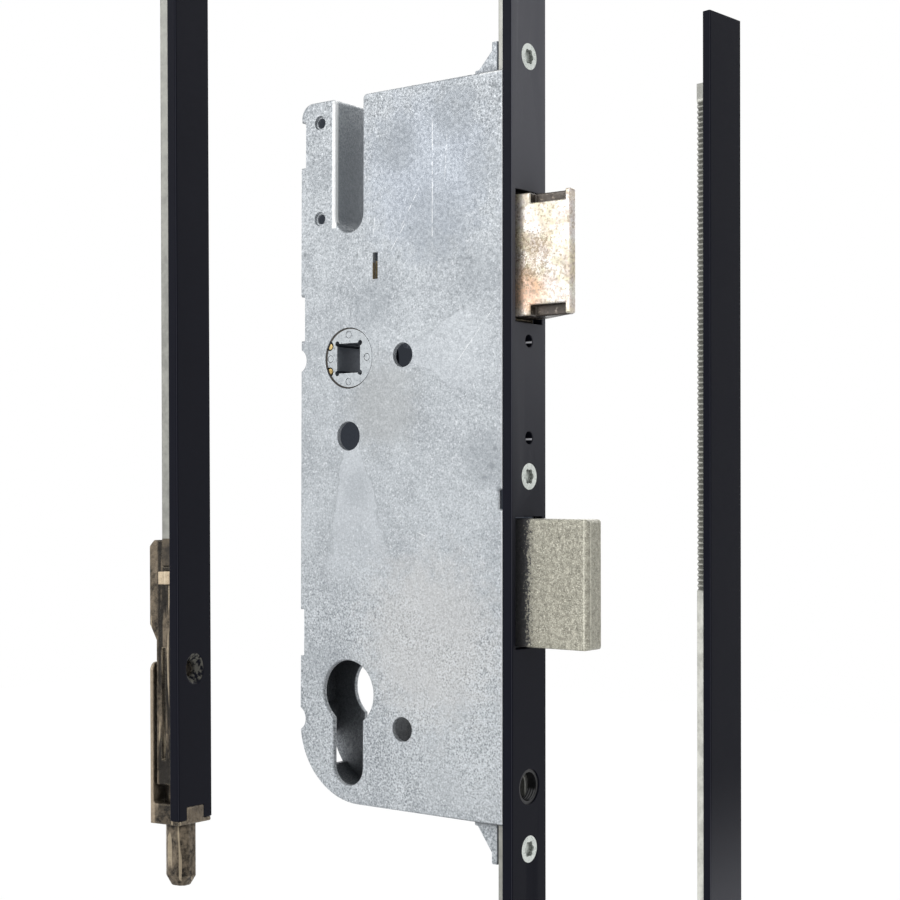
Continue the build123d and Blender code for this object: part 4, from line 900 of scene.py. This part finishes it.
def copyNode(node, name):
    copy = copyOf(nodes[node], name)
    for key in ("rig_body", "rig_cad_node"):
        if key in copy:
            del copy[key]
    makeActive(copy)
    for modifier in list(copy.modifiers):
        copy.modifiers.remove(modifier)
    bpy.ops.object.mode_set(mode="EDIT")
    bpy.ops.mesh.select_all(action="SELECT")
    bpy.ops.mesh.remove_doubles(threshold=mergeValues["distance"] * mm)
    bpy.ops.mesh.dissolve_limited(angle_limit=math.radians(mergeValues["flatAngle"]))
    bpy.ops.mesh.normals_make_consistent(inside=False)
    bpy.ops.object.mode_set(mode="OBJECT")
    return copy


def bevelEdges(piece, width, steps, weights=None):
    makeActive(piece)
    smoothBy(edgeValues["smoothAngle"])
    bevel = piece.modifiers.new("softEdges", "BEVEL")
    bevel.harden_normals = True
    bevel.width = width * mm
    bevel.segments = steps
    bevel.use_clamp_overlap = False
    bevel.limit_method = "WEIGHT" if weights else "ANGLE"
    bevel.angle_limit = math.radians(edgeValues["sharpAngle"])
    if weights:
        held = piece.data.attributes.new("bevel_weight_edge", "FLOAT", "EDGE")
        for edge in piece.data.edges:
            held.data[edge.index].value = weights(piece.data, edge)
    bpy.ops.object.modifier_apply(modifier=bevel.name)


def finishPiece(piece, node):
    setFinish(piece, finishOf[node])
    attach(piece, nodes[node]["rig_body"])
    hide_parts(node)


# the screws' drives, widened to the size that they have in the photo
driveValues = {"heights": (76.6, -32.8, -128.8), "reach": 1.62, "depth": 52.9, "grow": 1.38}


def widenDrives(piece):
    v = driveValues
    for height in v["heights"]:
        makeActive(piece)
        bpy.ops.object.mode_set(mode="EDIT")
        bpy.ops.mesh.select_all(action="DESELECT")
        bpy.ops.object.mode_set(mode="OBJECT")
        for vertex in piece.data.vertices:
            place = vertex.co / mm
            vertex.select = place.x > v["depth"] and math.hypot(place.y, place.z - height) < v["reach"]
        bpy.ops.object.mode_set(mode="EDIT")
        bpy.ops.transform.resize(value=(1.0, v["grow"], v["grow"]), center_override=(0.0, 0.0, height * mm))
        bpy.ops.object.mode_set(mode="OBJECT")


for node, (name, width, steps) in softPieces.items():
    piece = copyNode(node, name)
    if node == "faceplate_screws":
        widenDrives(piece)
    bevelEdges(piece, width, steps)
    finishPiece(piece, node)
print("softened pieces made")


# both springs sit between their seat and the piece that they push; anchors in metres
springValues = {
    "latch_spring": {"name": "latchCoil", "joint": "latch_slide", "axis": (1.0, 0.0, 0.0),
                     "anchor": (0.027, 0.0, 0.0), "keep": 0.31},
    "return_spring": {"name": "returnCoil", "joint": "return_plunger_slide", "axis": (0.0, 0.0, 1.0),
                      "anchor": (0.0, 0.0, -0.045), "keep": 0.786},
}
roundAngle = 40

for node, values in springValues.items():
    coil = copyNode(node, values["name"])
    smoothBy(roundAngle)
    finishPiece(coil, node)
    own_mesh(coil)
print("springs made")


# case tray: its folded rim has a round bend, and its holes (x, z, reach) have a small edge
trayValues = {"bend": 0.6, "steps": 4, "hole": 0.15, "nearFace": -7.5, "slack": 0.01, "sharpAngle": 35,
              "holes": [(-10.6, 66.5, 3.0), (-10.6, 39.5, 3.0), (0.0, 0.0, 9.5), (0.0, -21.5, 5.0),
                        (19.0, 0.0, 4.5), (19.0, -100.4, 4.5), (9.4, 24.85, 4.6)]}


def sharpEdges(mesh, degrees):
    faces = {}
    for polygon in mesh.polygons:
        for key in polygon.edge_keys:
            faces.setdefault(key, []).append(polygon.normal)
    sharp = set()
    for key, normals in faces.items():
        if len(normals) == 2 and normals[0].angle(normals[1], 0) > math.radians(degrees):
            sharp.add(key)
    return sharp


def makeTray():
    v = trayValues
    tray = copyNode("case_tray", "caseShell")
    sharp = sharpEdges(tray.data, v["sharpAngle"])

    def weightOf(mesh, edge):
        if tuple(sorted(edge.vertices)) not in sharp:
            return 0.0
        ends = [mesh.vertices[i].co / mm for i in edge.vertices]
        if any(abs(end.y - v["nearFace"]) > v["slack"] for end in ends):
            return 0.0
        x, z = (ends[0].x + ends[1].x) / 2, (ends[0].z + ends[1].z) / 2
        around = any(math.hypot(x - holeX, z - holeZ) < reach for holeX, holeZ, reach in v["holes"])
        return v["hole"] / v["bend"] if around else 1.0

    bevelEdges(tray, v["bend"], v["steps"], weightOf)
    finishPiece(tray, "case_tray")


makeTray()
print("case tray made")


# flush pins in the hub's face, and the smaller brass pins at its rim
pinValues = {"sides": 40, "circle": 6.5, "radius": 0.93, "face": -7.46, "depth": 0.42, "edge": 0.12,
             "steps": 3}
rimValues = {**pinValues, "circle": 7.55, "angle": 27.0, "radius": 0.88, "face": -7.42, "depth": 1.32,
             "edge": 0.25}


def makePin(v, angle):
    circle = v["circle"] * mm
    place = (circle * math.cos(angle), (v["face"] + v["depth"] / 2) * mm, circle * math.sin(angle))
    deselectAll()
    bpy.ops.mesh.primitive_cylinder_add(vertices=v["sides"], radius=v["radius"] * mm, depth=v["depth"] * mm,
                                        rotation=(math.pi / 2, 0, 0), location=place)
    pin = bpy.context.object
    applyPlace()
    bevelEdges(pin, v["edge"], v["steps"])
    return pin


def repeatAround(first, turns, name):
    # copies of one pin turned round the hub's axis, each with its own mesh
    pins = [first]
    for turn in turns:
        pin = copyOf(first, "pinCopy")
        pin.rotation_euler = (0.0, math.radians(turn), 0.0)
        makeActive(pin)
        applyPlace()
        pins.append(pin)
    deselectAll()
    for pin in pins:
        pin.select_set(True)
    bpy.context.view_layer.objects.active = first
    bpy.ops.object.join()
    setName(first, name)
    return first


def makeHubPins():
    pins = repeatAround(makePin(pinValues, 0.0), (90, 180, 270), "hubPins")
    setFinish(pins, finishes["followerMetal"])
    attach(pins, "follower")


def makeRimPins():
    angle = rimValues["angle"]
    pins = repeatAround(makePin(rimValues, math.radians(180 - angle)), (-2 * angle,), "rimPins")
    finishPiece(pins, "follower_brass_pins")


makeHubPins()
makeRimPins()
print("hub and rim pins made")


# brass block in the side of the shootbolt's body
keyValues = {"front": 51.9, "back": 47.0, "side": 7.02, "low": -887.6, "high": -884.0, "edge": 0.35,
             "steps": 3}


def makeBoltKey():
    v = keyValues
    middle = inMetres(((v["front"] + v["back"]) / 2, 0.0, (v["low"] + v["high"]) / 2))
    deselectAll()
    bpy.ops.mesh.primitive_cube_add(size=1.0, location=middle)
    key = bpy.context.object
    key.scale = inMetres((v["front"] - v["back"], 2 * v["side"], v["high"] - v["low"]))
    applyPlace()
    bevelEdges(key, v["edge"], v["steps"])
    setName(key, "boltKey")
    finishPiece(key, "shootbolt_key")


makeBoltKey()
print("bolt key made")


# floor, air and lamps; sizes in metres
studioValues = {"floor": -0.968, "side": 12.0, "paint": colour(0.88, 0.88, 0.88), "white": colour(1, 1, 1),
                "air": colour(0.96, 0.98, 1.0), "fill": 0.42, "shown": 0.85, "glow": 1.06, "roughness": 0.8,
                "specular": 0.1}


def seenRays(tree):
    # rays that show a plain background: from the camera, in gloss and through glass
    path = tree.nodes.new("ShaderNodeLightPath").outputs
    mirrored = mathOf(tree, "MAXIMUM", path["Is Glossy Ray"], path["Is Transmission Ray"])
    return mathOf(tree, "MAXIMUM", path["Is Camera Ray"], mirrored)


def makeFloor():
    v = studioValues
    deselectAll()
    bpy.ops.mesh.primitive_plane_add(size=v["side"], location=(0, 0, v["floor"]))
    floor = bpy.context.object
    floor.name = "floor"
    applyPlace()
    paint = bpy.data.materials.new("paleFloor")
    paint.use_nodes = True
    tree = paint.node_tree
    shader = tree.nodes["Principled BSDF"]
    shader.inputs["Base Color"].default_value = v["paint"]
    shader.inputs["Roughness"].default_value = v["roughness"]
    shader.inputs["Specular IOR Level"].default_value = v["specular"]
    glow = addNode(tree, "ShaderNodeEmission", {"Color": v["white"], "Strength": v["glow"]})
    shown = product(tree, seenRays(tree), v["shown"])
    blend = addNode(tree, "ShaderNodeMixShader", {0: shown, 1: shader.outputs[0], 2: glow[0]})
    tree.links.new(blend[0], tree.nodes["Material Output"].inputs["Surface"])
    floor.data.materials.append(paint)


def makeAir():
    v = studioValues
    world = bpy.data.worlds.new("studioAir")
    scene.world = world
    world.use_nodes = True
    tree = world.node_tree
    fill = addNode(tree, "ShaderNodeBackground", {"Color": v["air"], "Strength": v["fill"]})
    white = addNode(tree, "ShaderNodeBackground", {"Color": v["white"], "Strength": 1.0})
    blend = addNode(tree, "ShaderNodeMixShader", {0: seenRays(tree), 1: fill[0], 2: white[0]})
    tree.links.new(blend[0], tree.nodes["World Output"].inputs["Surface"])


lampValues = {
    "key": {"towards": (0.45, 1.0, -0.45), "strength": 1.35, "spread": 40, "tint": (1.0, 1.0, 1.0)},
    "side": {"towards": (-1.0, 0.25, -0.5), "strength": 0.3, "spread": 50, "tint": (1.0, 0.99, 0.97)},
    "back": {"towards": (0.3, -1.0, -0.5), "strength": 1.2, "spread": 50, "tint": (1.0, 1.0, 1.0)},
}


def makeLamps():
    for name, values in lampValues.items():
        deselectAll()
        bpy.ops.object.light_add(type="SUN", location=(0, 0, 2))
        lamp = bpy.context.object
        lamp.name = name + "Lamp"
        lamp.rotation_euler = Vector(values["towards"]).to_track_quat("-Z", "Y").to_euler()
        lamp.data.energy = values["strength"]
        lamp.data.angle = math.radians(values["spread"])
        lamp.data.color = values["tint"]


# camera at the photo's angle; nearest and farthest in metres
cameraValues = {"place": (294.2, -355.3, -36.1), "yaw": 36.70, "pitch": -1.357, "roll": 0.047, "lens": 66.06,
                "sensor": 36.0, "nearest": 0.001, "farthest": 100.0}


def cameraAxes(yaw, pitch, roll):
    # where right, up and ahead are for a camera with these angles
    yaw, pitch, roll = math.radians(yaw), math.radians(pitch), math.radians(roll)
    back = Vector((math.sin(yaw) * math.cos(pitch), -math.cos(yaw) * math.cos(pitch), math.sin(pitch)))
    right = Vector((math.cos(yaw), math.sin(yaw), 0.0))
    up = back.cross(right)
    rolledRight = right * math.cos(roll) + up * math.sin(roll)
    rolledUp = up * math.cos(roll) - right * math.sin(roll)
    return rolledRight, rolledUp, -back


def makeCamera():
    v = cameraValues
    ahead = cameraAxes(v["yaw"], v["pitch"], v["roll"])[2]
    rolled = Matrix.Rotation(math.radians(v["roll"]), 4, "Z")
    deselectAll()
    bpy.ops.object.camera_add(location=inMetres(v["place"]))
    camera = bpy.context.object
    camera.name = "mainCamera"
    camera.rotation_euler = (ahead.to_track_quat("-Z", "Y").to_matrix().to_4x4() @ rolled).to_euler()
    camera.data.lens = v["lens"]
    camera.data.sensor_width = v["sensor"]
    camera.data.clip_start = v["nearest"]
    camera.data.clip_end = v["farthest"]
    scene.camera = camera


# the photo sets the lock's two ends beside its middle, so small copies of them stand close before the camera;
# place, yaw, roll and wide are each end's own viewpoint, shift is its place in the picture
endValues = {"scale": 0.004, "focus": 1651.6, "stroke": 17.75, "smoothAngle": 35, "evenness": 100}
endViews = {
    "bottomEnd": {
        "place": (323.36, -351.02, -887.89), "yaw": 38.347, "roll": -0.241, "wide": 0.9304,
        "shift": (-280.98, 96.64), "low": -1000.0, "high": -715.0,
        "still": ["frontPlate", "boltFoot", "rail_keepers"],
        "moving": ["bottomBolt", "boltKey", "lowerRail"], "body": "lower_drive", "way": 1},
    "topEnd": {
        "place": (349.53, -361.01, 270.2), "yaw": 40.126, "roll": -0.049, "wide": 0.8768,
        "shift": (252.87, -16.56), "low": 135.0, "high": 410.0, "still": ["frontPlate", "rail_keepers"],
        "moving": ["toothed_rail", "upperRod"], "body": "upper_drive", "way": -1},
}


def nearFinish(source):
    # the same finish for a small copy: places come from the stored ones, reaches shrink with the copy
    if "near" + source.name in bpy.data.materials:
        return bpy.data.materials["near" + source.name]
    finish = source.copy()
    finish.name = "near" + source.name
    tree = finish.node_tree
    stored = tree.nodes.new("ShaderNodeAttribute")
    stored.attribute_name = "lockPlace"
    for link in list(tree.links):
        if link.from_node.type == "TEX_COORD":
            tree.links.new(stored.outputs["Vector"], link.to_socket)
    for node in tree.nodes:
        if node.type == "BUMP":
            node.inputs["Distance"].default_value *= endValues["scale"]
        elif node.type == "GROUP" and node.node_tree in (hollows, edgeWear):
            node.inputs["reach"].default_value *= endValues["scale"]
    return finish


def cutEnd(copy, values):
    # keeps the end between its low and high cuts, and stores where its points are on the lock
    makeActive(copy)
    bpy.ops.object.mode_set(mode="EDIT")
    for height, below in ((values["low"], True), (values["high"], False)):
        bpy.ops.mesh.select_all(action="SELECT")
        bpy.ops.mesh.bisect(plane_co=(0, 0, height * mm), plane_no=(0, 0, 1), clear_inner=below,
                            clear_outer=not below)
    bpy.ops.object.mode_set(mode="OBJECT")
    kept = copy.data.attributes.new("lockPlace", "FLOAT_VECTOR", "POINT")
    for vertex in copy.data.vertices:
        kept.data[vertex.index].vector = vertex.co


def viewSpread(values):
    # turns what the end's own viewpoint sees into what the main camera sees, with its place in the picture
    right, up, ahead = cameraAxes(values["yaw"], cameraValues["pitch"], values["roll"])
    toRight, toUp, toAhead = cameraAxes(cameraValues["yaw"], cameraValues["pitch"], cameraValues["roll"])
    sideways, upwards = values["shift"][0] / endValues["focus"], -values["shift"][1] / endValues["focus"]
    columns = []
    for axis in (Vector((1, 0, 0)), Vector((0, 1, 0)), Vector((0, 0, 1))):
        depth = axis.dot(ahead)
        across = values["wide"] * axis.dot(right) + depth * sideways
        columns.append(toRight * across + toUp * (axis.dot(up) + depth * upwards) + toAhead * depth)
    return columns


def smoothEnd(copy):
    if copy.data.has_custom_normals:
        bpy.ops.mesh.customdata_custom_splitnormals_clear()
    smoothBy(endValues["smoothAngle"])
    evened = copy.modifiers.new("evenNormals", "WEIGHTED_NORMAL")
    evened.keep_sharp = True
    evened.weight = endValues["evenness"]
    bpy.ops.object.modifier_apply(modifier=evened.name)


def followBody(copy, values, upwards):
    follow = copy.constraints.new("TRANSFORM")
    follow.target = frame["bodies"][values["body"]]
    stroke = endValues["stroke"] * mm
    reach = upwards * (stroke * endValues["scale"])
    if values["way"] > 0:
        follow.from_max_z, follow.to_max_x, follow.to_max_y, follow.to_max_z = stroke, *reach
    else:
        follow.from_min_z, follow.to_min_x, follow.to_min_y, follow.to_min_z = -stroke, *(-reach)
    follow.map_to_x_from = follow.map_to_y_from = follow.map_to_z_from = "Z"


def makeEndCopy(name, part, values, moves):
    # one piece's end, spread as its viewpoint sees it and made small before the main camera
    source = bpy.data.objects[part] if part in bpy.data.objects else nodes[part]
    copy = copyOf(source, name + source.name)
    for key in list(copy.keys()):
        del copy[key]
    copy.hide_render = False
    cutEnd(copy, values)
    columns = viewSpread(values)
    spread = Matrix(columns).transposed().to_4x4()
    copy.data.transform(spread @ Matrix.Translation([-c * mm for c in values["place"]]))
    smoothEnd(copy)
    copy.location = inMetres(cameraValues["place"])
    copy.scale = [endValues["scale"]] * 3
    for slot in copy.material_slots:
        slot.material = nearFinish(slot.material)
    if moves:
        followBody(copy, values, columns[2])


def makeEndViews():
    for name, values in endViews.items():
        for part in values["still"]:
            makeEndCopy(name, part, values, False)
        for part in values["moving"]:
            makeEndCopy(name, part, values, True)
        print("small copies for the main view made:", name)


makeFloor()
makeAir()
makeLamps()
makeCamera()
makeEndViews()
scene.view_settings.view_transform = "Standard"
deselectAll()
print("studio, lamps and camera made")
